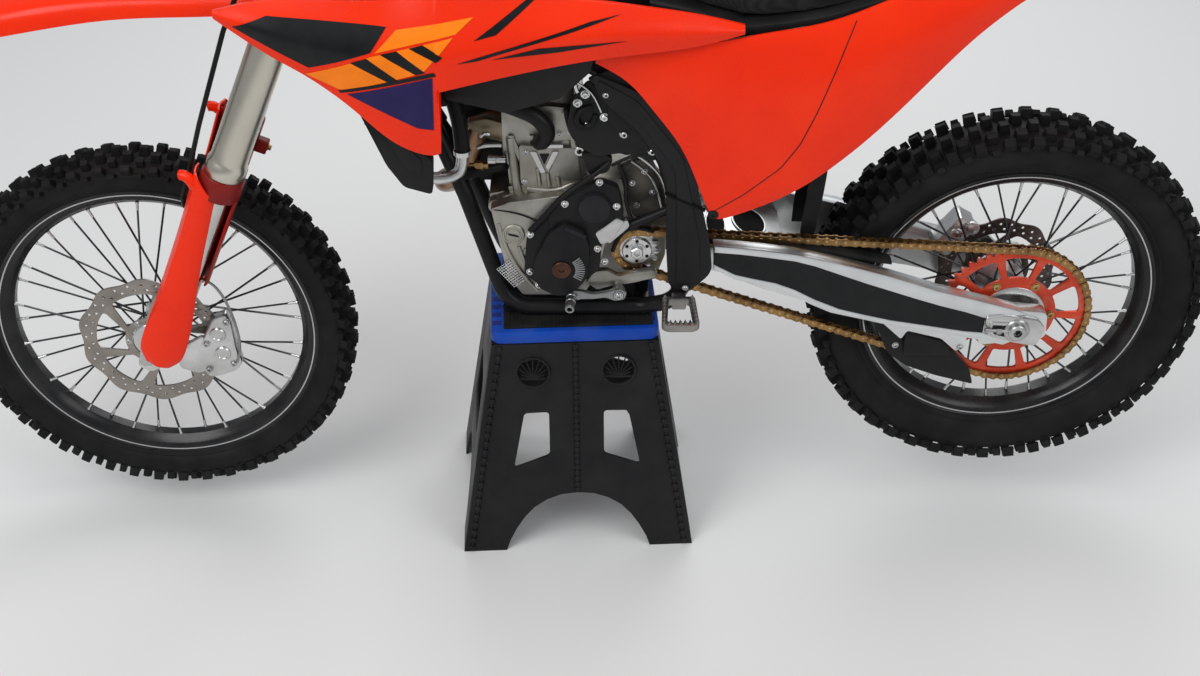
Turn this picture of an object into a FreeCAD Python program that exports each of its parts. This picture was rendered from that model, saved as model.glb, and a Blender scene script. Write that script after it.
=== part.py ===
"""A motocross bike standing on a folding box stand, in millimetres.

+Z is up, the bike's front points to -X and its left side to -Y. The origin is on the floor, on the
centre plane, half way between the axles. Everything on the bike hangs from three places worked out
below: the swingarm pivot above the stand's mat, the steering head, and the two axles.
"""
import FreeCAD
import Part
import Sketcher
import math
import os
from types import SimpleNamespace

Vector = FreeCAD.Vector
X_WAY = Vector(1, 0, 0)
Y_WAY = Vector(0, 1, 0)
Z_WAY = Vector(0, 0, 1)
LEFT = -1
RIGHT = 1
SIDES = (LEFT, RIGHT)

# Driving sizes. Columns: name, millimetres or degrees, what it sets
SIZES = (
    ("stand_height", 456.5, "floor to the top of the stand's plate"),
    ("stand_plate", 25, "thickness of the stand's top plate"),
    ("stand_top_length", 287, "plate along the bike"),
    ("stand_top_width", 251, "plate across the bike"),
    ("stand_foot_length", 418, "legs on the floor, along the bike"),
    ("stand_foot_width", 346, "legs on the floor, across the bike"),
    ("stand_wall", 14, "thickness of the leg panels"),
    ("stand_turn", 2.7, "how far the stand is turned under the bike"),
    ("stand_centre", -13, "middle of the stand from the origin"),
    ("mat_thickness", 3.5, "rubber mat on the plate"),
    ("mat_margin", 10, "mat edge to plate edge"),
    ("pivot_back", 180, "swingarm pivot behind the origin"),
    ("pivot_over_mat", 125, "swingarm pivot above the mat"),
    ("swingarm_length", 581.1, "pivot to rear axle"),
    ("swingarm_droop", 13.54, "swingarm below level"),
    ("head_forward", 563.4, "steering head centre ahead of the pivot"),
    ("head_rise", 525, "steering head centre above the pivot"),
    ("rake", 23.35, "steering axis from upright"),
    ("head_to_axle", 803, "head centre to front axle along the steering axis"),
    ("fork_offset", 27, "fork legs ahead of the steering axis"),
    ("axle_lead", 20, "front axle ahead of the fork legs"),
    ("fork_spread", 206, "between the fork leg centres"),
    ("fork_top", 905, "front axle to the fork's top cap"),
    ("fork_seal", 402, "front axle to the foot of the outer tube"),
    ("outer_tube_radius", 30, "fork outer tube"),
    ("inner_tube_radius", 24, "fork inner tube"),
    ("front_axle_radius", 13, "front axle"),
    ("rear_axle_radius", 12.5, "rear axle"),
    ("axle_clearance", 0.3, "hub bore over its axle"),
    ("front_tyre_radius", 350, "to the tips of the knobs"),
    ("front_tyre_width", 84, "over the side knobs"),
    ("rear_tyre_radius", 346, "to the tips of the knobs"),
    ("rear_tyre_width", 116, "over the side knobs"),
    ("front_rim_radius", 282, "to the lip of the rim"),
    ("front_rim_width", 52, "over the lips"),
    ("rear_rim_radius", 257, "to the lip of the rim"),
    ("rear_rim_width", 66, "over the lips"),
    ("knob_height", 15, "tread knobs of both tyres"),
    ("crown_drop", 12, "how far the tread falls from its middle to its shoulders"),
    ("front_knob_rows", 30, "knob rows round the front tyre"),
    ("rear_knob_rows", 26, "knob rows round the rear tyre"),
    ("rim_wall", 3.5, "rim metal"),
    ("rim_depth", 30, "lip to spoke face"),
    ("bead_depth", 16, "tyre bead below the rim lip"),
    ("seat_gap", 0.3, "running or seating gap between neighbours"),
    ("front_hub_radius", 22, "front hub barrel"),
    ("front_hub_width", 126, "front hub over its ends"),
    ("front_flange_radius", 33, "front spoke flange"),
    ("front_flange_spread", 58, "between the front flanges"),
    ("rear_hub_radius", 30, "rear hub barrel"),
    ("rear_hub_width", 142, "rear hub over its ends"),
    ("rear_flange_radius", 44, "rear spoke flange"),
    ("rear_flange_spread", 66, "between the rear flanges"),
    ("flange_thickness", 7, "spoke flanges"),
    ("spoke_radius", 2.0, "spokes"),
    ("spoke_lead", 48, "turn of a spoke from flange to rim"),
    ("front_disc_radius", 130, "front brake disc"),
    ("rear_disc_radius", 110, "rear brake disc"),
    ("disc_band", 26, "braking band of a disc"),
    ("disc_thickness", 3.2, "brake discs"),
    ("front_disc_side", 60, "front disc left of the centre plane"),
    ("rear_disc_side", 66, "rear disc right of the centre plane"),
    ("chain_side", 70, "chain left of the centre plane"),
    ("chain_pitch", 15.875, "chain"),
    ("chain_height", 15, "side plates of the chain"),
    ("chain_width", 17, "chain over its pins"),
    ("chain_waist", 10, "side plates between two pins"),
    ("front_teeth", 14, "drive sprocket"),
    ("rear_teeth", 52, "wheel sprocket"),
    ("sprocket_thickness", 6, "both sprockets"),
    ("drive_forward", 83, "drive sprocket ahead of the pivot"),
    ("arm_inner", 86, "swingarm arms, inner face"),
    ("arm_outer", 112, "swingarm arms, outer face"),
    ("arm_front_outer", 99, "swingarm arms at the pivot, outer face"),
    ("frame_tube", 14, "radius of the cradle tubes"),
    ("spar_tube", 15, "radius of the upper frame spars"),
    ("cradle_spread", 156, "between the cradle tubes under the engine"),
    ("head_tube_radius", 30, "steering head tube"),
    ("head_tube_length", 112, "steering head tube"),
    ("stem_radius", 15, "steering stem"),
    ("clamp_thickness", 34, "lower triple clamp"),
    ("upper_clamp_thickness", 26, "upper triple clamp"),
    ("panel_wall", 3, "plastic body panels"),
    ("bar_radius", 11, "handlebar at the grips"),
    ("bar_reach", 405, "bar end from the centre plane"),
    ("bar_over_clamp", 66, "bar above the upper clamp"),
    ("brake_hose_radius", 4, "front brake hose"),
    ("coolant_hose_radius", 14, "upper coolant hose"),
    ("coolant_pipe_radius", 10, "lower coolant pipe"),
    ("grip_radius", 16, "grips"),
    ("grip_length", 120, "grips"),
)

doc = FreeCAD.newDocument("dirt_bike")
sheet = doc.addObject("Spreadsheet::Sheet", "Sizes")
for row, (alias, amount, meaning) in enumerate(SIZES, start=1):
    sheet.set(f"A{row}", alias)
    sheet.set(f"B{row}", str(amount))
    sheet.setAlias(f"B{row}", alias)
    sheet.set(f"C{row}", meaning)
doc.recompute()
size = SimpleNamespace(**{alias: float(sheet.get(alias)) for alias, _, _ in SIZES})

MAT_TOP = size.stand_height + size.mat_thickness
PIVOT = Vector(size.pivot_back, 0, MAT_TOP + size.pivot_over_mat)
DROOP = math.radians(size.swingarm_droop)
REAR_AXLE = PIVOT + Vector(math.cos(DROOP), 0, -math.sin(DROOP)) * size.swingarm_length
HEAD = PIVOT + Vector(-size.head_forward, 0, size.head_rise)
RAKE = math.radians(size.rake)
FORK_UP = Vector(math.sin(RAKE), 0, math.cos(RAKE))
FORK_AHEAD = Vector(-math.cos(RAKE), 0, math.sin(RAKE))
FORK_SIDE = size.fork_spread / 2


def at_frame(back, up, side=0):
    """A place measured from the swingarm pivot."""
    return PIVOT + Vector(back, side, up)


def outline_at_frame(points):
    return [at_frame(back, up) for back, up in points]


def at_fork(along, ahead, side=0):
    """A place measured along the steering axis from the front axle's height, and ahead of the axis."""
    return HEAD + FORK_UP * (along - size.head_to_axle) + FORK_AHEAD * ahead + Vector(0, side, 0)


def at_rear_axle(back, up, side=0):
    return REAR_AXLE + Vector(back, side, up)


def at_head(back, up, side=0):
    """A place measured from the middle of the steering head."""
    return HEAD + Vector(back, side, up)


FRONT_AXLE = at_fork(0, size.fork_offset + size.axle_lead)
DRIVE_CENTRE = at_frame(-size.drive_forward, 0)


def rounded_wire(points, radius, closed=True):
    """Straight runs through the points, with a tangent arc at each corner."""
    count = len(points)
    corners = []
    for index, corner in enumerate(points):
        if not closed and index in (0, count - 1):
            corners.append((corner, None, corner))
            continue
        before = points[index - 1] - corner
        after = points[(index + 1) % count] - corner
        reach = 0.45 * min(before.Length, after.Length)
        half = before.getAngle(after) / 2
        if radius == 0 or half > math.radians(89):
            corners.append((corner, None, corner))
            continue
        cut = min(radius / math.tan(half), reach)
        before.normalize()
        after.normalize()
        inward = (before + after).normalize()
        arc_radius = cut * math.tan(half)
        middle = corner + inward * (cut / math.cos(half) - arc_radius)
        corners.append((corner + before * cut, middle, corner + after * cut))
    edges = []
    for index, (start, middle, end) in enumerate(corners):
        if middle is not None:
            edges.append(Part.Arc(start, middle, end).toShape())
        if closed or index < count - 1:
            following = corners[(index + 1) % count][0]
            if end.distanceToPoint(following) > 1e-4:
                edges.append(Part.LineSegment(end, following).toShape())
    return Part.Wire(edges)


def tube(points, radius, bend):
    """A round bar bent along the points."""
    path = rounded_wire(points, bend, closed=False)
    first_way = points[1] - points[0]
    section = Part.Wire(Part.Circle(points[0], first_way, radius).toShape())
    return path.makePipeShell([section], True, False)


def bar(start, end, radius):
    """A straight round bar between two places."""
    way = end - start
    return Part.makeCylinder(radius, way.Length, start, way)


def disc(centre, radius, width, way=Y_WAY):
    """A short cylinder, centred."""
    return Part.makeCylinder(radius, width, centre - Vector(way).normalize() * (width / 2), way)


def block(low, high):
    """An upright box from its lowest corner to its highest."""
    return Part.makeBox(high.x - low.x, high.y - low.y, high.z - low.z, low)


def spanning_block(back, back_to, up, up_to, side, side_to):
    """A box between two side offsets given in either order."""
    low_side, high_side = sorted((side, side_to))
    return block(at_frame(back, up, low_side), at_frame(back_to, up_to, high_side))


def plate(points, side_from, side_to, corner=0):
    """A flat piece: its outline lies in the side view and it spans two side offsets."""
    flat = [Vector(point.x, side_from, point.z) for point in points]
    face = Part.Face(rounded_wire(flat, corner))
    return face.extrude(Vector(0, side_to - side_from, 0))


def ring_spot(centre, radius, side, angle):
    """A place on a circle round an axle, the angle from straight up towards the rear."""
    return centre + Vector(math.sin(angle) * radius, side, math.cos(angle) * radius)


def flat_face(*spots):
    return Part.Face(Part.makePolygon(list(spots) + [spots[0]]))


def loft(sections, ruled=True):
    """A solid through closed outlines that all have as many corners."""
    wires = [Part.makePolygon(list(points) + [points[0]]) for points in sections]
    return Part.makeLoft(wires, True, ruled)


def fused(shapes):
    first, *others = shapes
    return first.multiFuse(others) if others else first


def mirrored(shape):
    """The same shape on the other side of the bike."""
    return shape.mirror(Vector(0, 0, 0), Y_WAY)


def both_sides(shape):
    return [shape, mirrored(shape)]


def add_node(label, shapes):
    """One named piece of the model from finished shapes."""
    solids = [solid for shape in shapes for solid in shape.Solids]
    node = doc.addObject("Part::Feature", label)
    node.Label = label
    node.Shape = solids[0] if len(solids) == 1 else Part.makeCompound(solids)
    node.Placement = node.Shape.Placement
    return node


def round_piece(label, radius, length, start, way):
    """A cylinder whose radius and length follow the sheet."""
    piece = doc.addObject("Part::Cylinder", label)
    piece.setExpression("Radius", radius)
    piece.setExpression("Height", length)
    piece.Placement = FreeCAD.Placement(start, FreeCAD.Rotation(Z_WAY, way))
    return piece


def joined_pieces(label, pieces):
    """Several parametric pieces fused under one label."""
    node = doc.addObject("Part::MultiFuse", label)
    node.Label = label
    node.Shapes = pieces
    return node


def turned_body(label, centre, corners):
    """A ring turned about its axle. Corners are (radius, side) expressions of the sheet."""
    body = doc.addObject("PartDesign::Body", label)
    body.Label = label
    sketch = body.newObject("Sketcher::SketchObject", label + "_profile")
    plane = next(item for item in body.Origin.OriginFeatures if item.Role == "XY_Plane")
    sketch.AttachmentSupport = [(plane, "")]
    sketch.MapMode = "FlatFace"
    count = len(corners)
    spots = [Vector(math.cos(2 * math.pi * i / count) + 2, math.sin(2 * math.pi * i / count), 0)
             for i in range(count)]
    for index in range(count):
        sketch.addGeometry(Part.LineSegment(spots[index], spots[(index + 1) % count]), False)
    for index in range(count):
        sketch.addConstraint(Sketcher.Constraint("Coincident", index, 2, (index + 1) % count, 1))
    for index, (radius, side) in enumerate(corners):
        for kind, expression, start in (("DistanceX", radius, spots[index].x),
                                        ("DistanceY", side, spots[index].y)):
            held = sketch.addConstraint(Sketcher.Constraint(kind, -1, 1, index, 1, start))
            sketch.setExpression(f"Constraints[{held}]", expression)
    turn = body.newObject("PartDesign::Revolution", label + "_turn")
    turn.Profile = sketch
    turn.ReferenceAxis = (sketch, ["V_Axis"])
    turn.Angle = 360
    body.Tip = turn
    body.Placement = FreeCAD.Placement(centre, FreeCAD.Rotation())
    return body


nodes = []


# Stand: legs as a hollow box that narrows upwards, a plate and a mat

def rectangle(length, width, height):
    """Four corners of a level rectangle over the stand's centre."""
    half_length, half_width = length / 2, width / 2
    return [Vector(-half_length, -half_width, height), Vector(half_length, -half_width, height),
            Vector(half_length, half_width, height), Vector(-half_length, half_width, height)]


def placed_on_stand(shape):
    """Turn a shape about the upright through the stand's centre and move it there."""
    shape.rotate(Vector(0, 0, 0), Z_WAY, size.stand_turn)
    shape.translate(Vector(size.stand_centre, 0, 0))
    return shape


def stand_legs():
    under_plate = size.stand_height - size.stand_plate
    shrink = 2 * size.stand_wall
    plate_length = size.stand_top_length - 4
    plate_width = size.stand_top_width - 4
    outer = loft([rectangle(size.stand_foot_length, size.stand_foot_width, 0),
                  rectangle(plate_length, plate_width, under_plate)])
    inner = loft([rectangle(size.stand_foot_length - shrink, size.stand_foot_width - shrink, 0),
                  rectangle(plate_length - shrink, plate_width - shrink, under_plate)])
    legs = outer.cut(inner)
    reach = size.stand_foot_length
    # Cut-outs seen along the bike's side. Columns: across the stand, height
    arch = [(-131, -10), (131, -10), (112, 92), (62, 134), (-62, 134), (-112, 92)]
    window = [(45, 217), (112, 187), (88, 303), (45, 303)]
    end_arch = [(-105, -10), (105, -10), (84, 82), (45, 112), (-45, 112), (-84, 82)]
    end_window = [(-70, 190), (70, 190), (56, 300), (-56, 300)]
    cuts = []
    for outline in (arch, window, [(-across, up) for across, up in window]):
        flat = [Vector(across, 0, up) for across, up in outline]
        cuts.append(plate(flat, -reach, reach, corner=14))
    for outline in (end_arch, end_window):
        flat = [Vector(-reach, across, up) for across, up in outline]
        cuts.append(Part.Face(rounded_wire(flat, 14)).extrude(Vector(2 * reach, 0, 0)))
    return placed_on_stand(legs.cut(fused(cuts)))


def stand_top():
    low = size.stand_height - size.stand_plate
    half_length, half_width = size.stand_top_length / 2, size.stand_top_width / 2
    slab = block(Vector(-half_length, -half_width, low), Vector(half_length, half_width, size.stand_height))
    edges = [edge for edge in slab.Edges if abs(edge.tangentAt(edge.FirstParameter).z) > 0.9]
    return placed_on_stand(slab.makeFillet(18, edges))


def stand_mat():
    half_length = size.stand_top_length / 2 - size.mat_margin
    half_width = size.stand_top_width / 2 - size.mat_margin
    return placed_on_stand(block(Vector(-half_length, -half_width, size.stand_height),
                                 Vector(half_length, half_width, MAT_TOP)))


nodes.append(add_node("stand_legs", [stand_legs()]))
nodes.append(add_node("stand_top", [stand_top()]))
nodes.append(add_node("stand_mat", [stand_mat()]))


# Frame: head tube, down tube, cradle, spars and pivot plates

HEAD_LOW = size.head_to_axle - size.head_tube_length / 2
HEAD_HIGH = size.head_to_axle + size.head_tube_length / 2
CRADLE_UP = size.frame_tube - size.pivot_over_mat
CRADLE_SIDE = size.cradle_spread / 2
SPAR_SIDE = 92
PLATE_INNER = size.arm_front_outer + size.seat_gap
PLATE_THICKNESS = 12
PEG_INNER = PLATE_INNER + 2 * size.frame_tube + 1
# The shock's upper eye turns on a cross tube of the frame. Columns: behind the pivot, above it
HEAD_HALF = 60
RADIATOR_FRONT = -492
RADIATOR_BACK = -460
RADIATOR_FOOT = 255
RADIATOR_INNER = 76
RADIATOR_OUTER = 166
SHOCK_TOP = (-40, 190)
SHOCK_BRIDGE = 10
# Cross tubes of the frame. Columns: behind the pivot, above it
TANK_BRIDGE = (-140, 345)
TANK_BRIDGE_RADIUS = 12
CRADLE_REAR = -72
# Corners of the engine's underside. Columns: behind the pivot, above it
CASE_SUMP = (-120, -88)
CASE_HEEL = (-50, -75)


def cradle_tube(side):
    return tube([at_head(150, -326, 14 * side), at_head(197, -433, 46 * side),
                 at_head(232, -545, 62 * side), at_frame(-300, CRADLE_UP, CRADLE_SIDE * side),
                 at_frame(-72, CRADLE_UP, CRADLE_SIDE * side), at_frame(-22, -88, 96 * side),
                 at_frame(6, -20, (PLATE_INNER + size.frame_tube) * side)], size.frame_tube, 60)


def spar(side):
    return tube([at_head(8, 6, 16 * side), at_frame(-330, 425, 72 * side),
                 at_frame(-140, 345, SPAR_SIDE * side), at_frame(-40, 190, (SPAR_SIDE + 6) * side),
                 at_frame(6, 30, (PLATE_INNER + size.spar_tube) * side)], size.spar_tube, 70)


def between(back, start, end):
    """Height on the straight line between two (back, up) corners."""
    return start[1] + (back - start[0]) / (end[0] - start[0]) * (end[1] - start[1])


def under_case(back):
    """Height just below the engine's underside."""
    return between(back, CASE_SUMP, CASE_HEEL) - size.seat_gap


def pivot_plate(side):
    outline = [at_frame(-26, 60), at_frame(22, 60), at_frame(28, 0), at_frame(10, -58), at_frame(-24, -58)]
    return plate(outline, PLATE_INNER * side, (PLATE_INNER + PLATE_THICKNESS) * side, corner=12)


def main_frame():
    head_outer = bar(at_fork(HEAD_LOW, 0), at_fork(HEAD_HIGH, 0), size.head_tube_radius)
    head_bore = bar(at_fork(HEAD_LOW - 5, 0), at_fork(HEAD_HIGH + 5, 0), size.stem_radius + 2)
    down_tube = bar(at_head(4, -20), at_head(153, -322), 18)
    spread = [bar(at_frame(-300, CRADLE_UP, -CRADLE_SIDE), at_frame(-300, CRADLE_UP, CRADLE_SIDE),
                  size.frame_tube - 3),
              bar(at_frame(CRADLE_REAR, CRADLE_UP, -CRADLE_SIDE), at_frame(CRADLE_REAR, CRADLE_UP, CRADLE_SIDE),
                  size.frame_tube - 3)]
    bridges = [bar(at_frame(*TANK_BRIDGE, -SPAR_SIDE), at_frame(*TANK_BRIDGE, SPAR_SIDE), TANK_BRIDGE_RADIUS),
               bar(at_frame(*SHOCK_TOP, -SPAR_SIDE), at_frame(*SHOCK_TOP, SPAR_SIDE), SHOCK_BRIDGE)]
    stay_reach = RADIATOR_INNER - size.seat_gap
    radiator_stay = bar(at_frame(-468, 322, -stay_reach), at_frame(-468, 322, stay_reach), 6)
    mount_from, mount_to = CRADLE_REAR - 10, CRADLE_REAR + 10
    engine_mount = outline_at_frame([(mount_from, CRADLE_UP), (mount_to, CRADLE_UP),
                                     (mount_to, under_case(mount_to)), (mount_from, under_case(mount_from))])
    mounts = [plate(engine_mount, side * 34 - 8, side * 34 + 8) for side in SIDES]
    parts = [head_outer, down_tube, radiator_stay] + bridges + spread + mounts
    for side in SIDES:
        bracket = spanning_block(-26, -2, -72, -48, PLATE_INNER * side, PEG_INNER * side)
        parts += [cradle_tube(side), spar(side), pivot_plate(side), bracket]
    return fused(parts).cut(head_bore)


def guard_outline():
    # Black plastic that hides the lower spar and the pivot. Columns: behind the pivot, above it
    points = ((-161, 360), (-84, 326), (-4, 221), (34, 53), (40, -6), (5, -42), (-32, -36),
              (-38, 53), (-40, 184), (-83, 256), (-146, 318))
    return [at_frame(back, up) for back, up in points]


nodes.append(add_node("main_frame", [main_frame()]))
GUARD_INNER = PLATE_INNER + 2 * size.spar_tube + size.seat_gap
nodes.append(add_node("frame_guards", both_sides(
    plate(guard_outline(), GUARD_INNER, GUARD_INNER + 4, corner=14))))


# Engine: crankcase, cylinder with its head, and the covers on both flanks

CASE_LEFT_DEEP = 50
CASE_LEFT_WIDE = 92
CASE_RIGHT_DEEP = 60
CASE_RIGHT_WIDE = 95
BARREL_FRONT = at_frame(-293, 105)
BARREL_REAR = at_frame(-162, 124)
INTAKE_UP = 235
EXHAUST_FACE = -302
INTAKE_SIDE = -16
AIRBOX_FRONT = -50


def crankcase():
    # Columns of each outline: behind the pivot, above it
    middle = outline_at_frame([(-328, 96), (-313, 8), (-306, -40), (-280, -85), CASE_SUMP, CASE_HEEL,
                               (-34, -25), (-32, 55), (-55, 100), (-110, 124)])
    left = outline_at_frame([(-324, 92), (-308, 8), (-300, -40), (-276, -78), (-172, -80), (-150, -36),
                             (-134, 30), (-134, 110)])
    right = outline_at_frame([(-324, 92), (-308, 8), (-300, -40), (-276, -78), (-60, -72), (-42, -20),
                              (-46, 60), (-110, 112)])
    seat = [BARREL_REAR, BARREL_FRONT]
    return fused([plate(middle + seat, -CASE_LEFT_DEEP, CASE_RIGHT_DEEP),
                  plate(left + seat, -CASE_LEFT_WIDE, -CASE_LEFT_DEEP),
                  plate(right + seat, CASE_RIGHT_DEEP, CASE_RIGHT_WIDE)])


def cylinder():
    barrel = plate([BARREL_FRONT, BARREL_REAR, at_frame(-172, 188), at_frame(-299, 196)], -50, 50)
    head = plate(outline_at_frame([(EXHAUST_FACE, 176), (-163, 168), (-174, 262), (EXHAUST_FACE, 270)]),
                 -HEAD_HALF, HEAD_HALF)
    cam_cover = plate(outline_at_frame([(-294, 264), (-182, 258), (-186, 286), (-204, 300), (-278, 304),
                                        (-292, 290)]), -52, 52)
    intake = bar(at_frame(-190, INTAKE_UP, INTAKE_SIDE),
                 at_frame(AIRBOX_FRONT - size.seat_gap, INTAKE_UP, INTAKE_SIDE), 22)
    plug_tower = bar(at_frame(-240, 300), at_frame(-236, 322), 15)
    port_flange = disc(at_frame(EXHAUST_FACE + 2, 205), 30, 4, X_WAY)
    base_flange = plate([BARREL_FRONT, BARREL_REAR, BARREL_REAR + Vector(-2, 0, 12), BARREL_FRONT + Vector(-2, 0, 12)],
                        -62, 62)
    # Cast ribs on both flanks of the head. Columns: behind the pivot, above it
    rib = outline_at_frame([(-292, 214), (-284, 214), (-256, 132), (-264, 132)])
    ribs = [plate([spot + Vector(step, 0, 0) for spot in rib], side * 48, side * 66)
            for side in SIDES for step in (0, 34, 68)]
    return fused([barrel, head, cam_cover, intake, plug_tower, port_flange, base_flange] + ribs)


def engine_covers():
    left_face, right_face = -CASE_LEFT_WIDE, CASE_RIGHT_WIDE
    # The ignition cover's faceted skirt. Columns: behind the pivot, above it
    skirt = outline_at_frame([(-272, -30), (-266, 42), (-222, 88), (-160, 92), (-140, 52), (-146, -22),
                              (-190, -58), (-240, -58)])
    # Columns: behind the pivot, above it, face it stands on, outer face, radius
    covers = ((-208, 17, left_face, -114, 54), (-208, 17, left_face, -119, 20),
              (-155, 80, left_face, -106, 29), (-287, 45, left_face, -103, 21),
              (-140, 8, right_face, 118, 66), (-250, 12, right_face, 122, 32))
    by_side = {LEFT: [plate(skirt, left_face, left_face - 10, corner=8)], RIGHT: []}
    for back, up, face, outer, radius in covers:
        by_side[LEFT if face < 0 else RIGHT].append(bar(at_frame(back, up, face), at_frame(back, up, outer), radius))
    return [fused(by_side[LEFT]), fused(by_side[RIGHT])]


nodes.append(add_node("crankcase", [crankcase()]))
nodes.append(add_node("cylinder", [cylinder()]))
nodes.append(add_node("engine_covers", engine_covers()))


# Exhaust: header round the front of the engine, then the silencer on the right

HEADER_RADIUS = 19
SILENCER_START = at_frame(215, 325, 104)
SILENCER_END = at_frame(520, 432, 112)


def exhaust_header():
    run_in = SILENCER_START - (SILENCER_END - SILENCER_START).normalize() * 50
    return tube([at_frame(EXHAUST_FACE - size.seat_gap, 205), at_frame(-334, 205), at_frame(-360, 150),
                 at_frame(-366, 110, 2), at_frame(-410, 82, 18), at_frame(-404, 50, 70), at_frame(-352, 46, 116),
                 at_frame(-270, 70, 122), at_frame(-205, 130, 119), at_frame(-130, 174, 96),
                 at_frame(-72, 210, 56), at_frame(0, 252, 54), run_in, SILENCER_START], HEADER_RADIUS, 60)


def silencer():
    way = (SILENCER_END - SILENCER_START).normalize()
    length = (SILENCER_END - SILENCER_START).Length
    cone = Part.makeCone(HEADER_RADIUS + 2, 44, 50, SILENCER_START, way)
    can = Part.makeCylinder(44, length - 90, SILENCER_START + way * 50, way)
    tail = Part.makeCone(44, 26, 40, SILENCER_START + way * (length - 40), way)
    outlet = Part.makeCylinder(19, 60, SILENCER_START + way * (length - 50), way)
    bore = Part.makeCylinder(16, 60, SILENCER_START + way * (length - 40), way)
    return fused([cone, can, tail, outlet]).cut(bore)


nodes.append(add_node("exhaust_header", [exhaust_header()]))
nodes.append(add_node("silencer", [silencer()]))


# Tank, seat, airbox and subframe

def tank():
    # The nose passes between the fork legs at full lock, so it is narrower than the body
    nose = plate(outline_at_frame([(-504, 532), (-480, 540), (-440, 540), (-440, 504)]), -44, 44)
    top = plate(outline_at_frame([(-456, 540), (-330, 528), (-120, 462), (-120, 400), (-330, 464), (-456, 510)]),
                -96, 96, corner=10)
    sump = plate(outline_at_frame([(-350, 484), (-168, 424), (-168, 345), (-340, 345)]), -50, 50, corner=10)
    # Lower flanks that show between the engine and the shrouds
    flank = outline_at_frame([(-384, 388), (-382, 322), (-290, 298), (-207, 322), (-161, 366), (-152, 398)])
    flanks = [plate(flank, side * 112, side * 146, corner=8) for side in SIDES]
    webs = [spanning_block(-330, -290, 360, 384, side * 48, side * 113) for side in SIDES]
    back, up = TANK_BRIDGE
    rest = up + TANK_BRIDGE_RADIUS + size.seat_gap
    foot = spanning_block(-180, back + 10, rest, rest + 18, -24, 24)
    return fused([nose, top, sump, foot] + flanks + webs)


# Seat stations. Columns: behind the pivot, underside, top, half width
SEAT_STATIONS = ((-262, 509, 536, 46), (-120, 480, 526, 60), (-8, 445, 506, 72), (76, 417, 494, 82),
                 (200, 437, 498, 88), (340, 481, 520, 92), (460, 498, 546, 90), (486, 504, 538, 86))


def seat_underside(back):
    """Height of the seat's underside at a place along it."""
    for start, end in zip(SEAT_STATIONS, SEAT_STATIONS[1:]):
        if start[0] <= back <= end[0]:
            return between(back, start[:2], end[:2])
    raise ValueError(f"no seat at {back}")


def seat():
    sections = []
    for back, low, high, half in SEAT_STATIONS:
        sections.append([at_frame(back, low, -half), at_frame(back, high - 16, -half),
                         at_frame(back, high, -half * 0.62), at_frame(back, high, half * 0.62),
                         at_frame(back, high - 16, half), at_frame(back, low, half)])
    return loft(sections)


# The airbox's sloping lower edge. Columns: behind the pivot, above it
AIRBOX_FLOOR = (200, 236)
AIRBOX_HEEL = (262, 300)


def airbox():
    outline = outline_at_frame([(AIRBOX_FRONT, 212), (60, 206), AIRBOX_FLOOR, AIRBOX_HEEL, (262, 395), (120, 400),
                                (AIRBOX_FRONT, 380)])
    return plate(outline, -80, 20, corner=16)


SUBFRAME_RADIUS = 9
SUBFRAME_SIDE = 100
# The cross tube that carries the tail. Columns: behind the pivot, above it
TAIL_BAR = (439, 456)
SEAT_BAR = 150


def subframe():
    tubes = []
    for side in SIDES:
        upper = tube([at_frame(-122.5, 349.5, 98 * side), at_frame(40, 396, SUBFRAME_SIDE * side),
                      at_frame(250, 434, SUBFRAME_SIDE * side), at_frame(TAIL_BAR[0], TAIL_BAR[1], 58 * side)],
                     SUBFRAME_RADIUS, 120)
        lower = bar(at_frame(-20, 214, SUBFRAME_SIDE * side), at_frame(190, 423, SUBFRAME_SIDE * side),
                    SUBFRAME_RADIUS)
        tubes += [upper, lower]
    under_seat = seat_underside(SEAT_BAR) - SUBFRAME_RADIUS + 1 - size.seat_gap
    for back, up, reach in ((SEAT_BAR, under_seat, SUBFRAME_SIDE), (*TAIL_BAR, 60)):
        tubes.append(bar(at_frame(back, up, -reach), at_frame(back, up, reach), SUBFRAME_RADIUS - 1))
    return fused(tubes)


nodes.append(add_node("fuel_tank", [tank()]))
nodes.append(add_node("seat", [seat()]))
nodes.append(add_node("airbox", [airbox()]))
nodes.append(add_node("subframe", [subframe()]))


# Plastics of the body

# Shroud stations. Columns: behind the pivot, then height and side offset of its top, crease and foot
SHROUD_STATIONS = ((-703, 497, 206, 491, 208, 485, 206), (-626, 509, 188, 470, 222, 424, 210),
                   (-583, 505, 182, 455, 224, 400, 208), (-514, 498, 176, 440, 224, 340, 204),
                   (-462, 495, 172, 430, 222, 272, 198), (-402, 508, 166, 428, 218, 246, 192),
                   (-384, 512, 164, 428, 216, 372, 212), (-280, 500, 158, 438, 198, 382, 186),
                   (-160, 488, 150, 444, 182, 400, 170), (-60, 468, 142, 438, 164, 404, 156),
                   (4, 456, 136, 432, 152, 408, 146), (72, 436, 130, 430, 138, 424, 136))


def shroud():
    sections = []
    for back, top, top_side, crease, crease_side, foot, foot_side in SHROUD_STATIONS:
        outer = ((top, top_side), (crease, crease_side), (foot, foot_side))
        points = [at_frame(back, up, side) for up, side in outer]
        points += [at_frame(back, up, side - size.panel_wall) for up, side in reversed(outer)]
        sections.append(points)
    return loft(sections)


def radiator_louvres():
    """Slats across the front of the right radiator, in a frame."""
    front = RADIATOR_FRONT - size.seat_gap
    inner, outer = RADIATOR_INNER, RADIATOR_OUTER
    slats = [spanning_block(front - 12, front, 262 + row * 26, 266 + row * 26, inner, outer) for row in range(6)]
    posts = [spanning_block(front - 12, front, 258, 400, side, side + 5) for side in (inner, outer - 5)]
    return fused(slats + posts)


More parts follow.
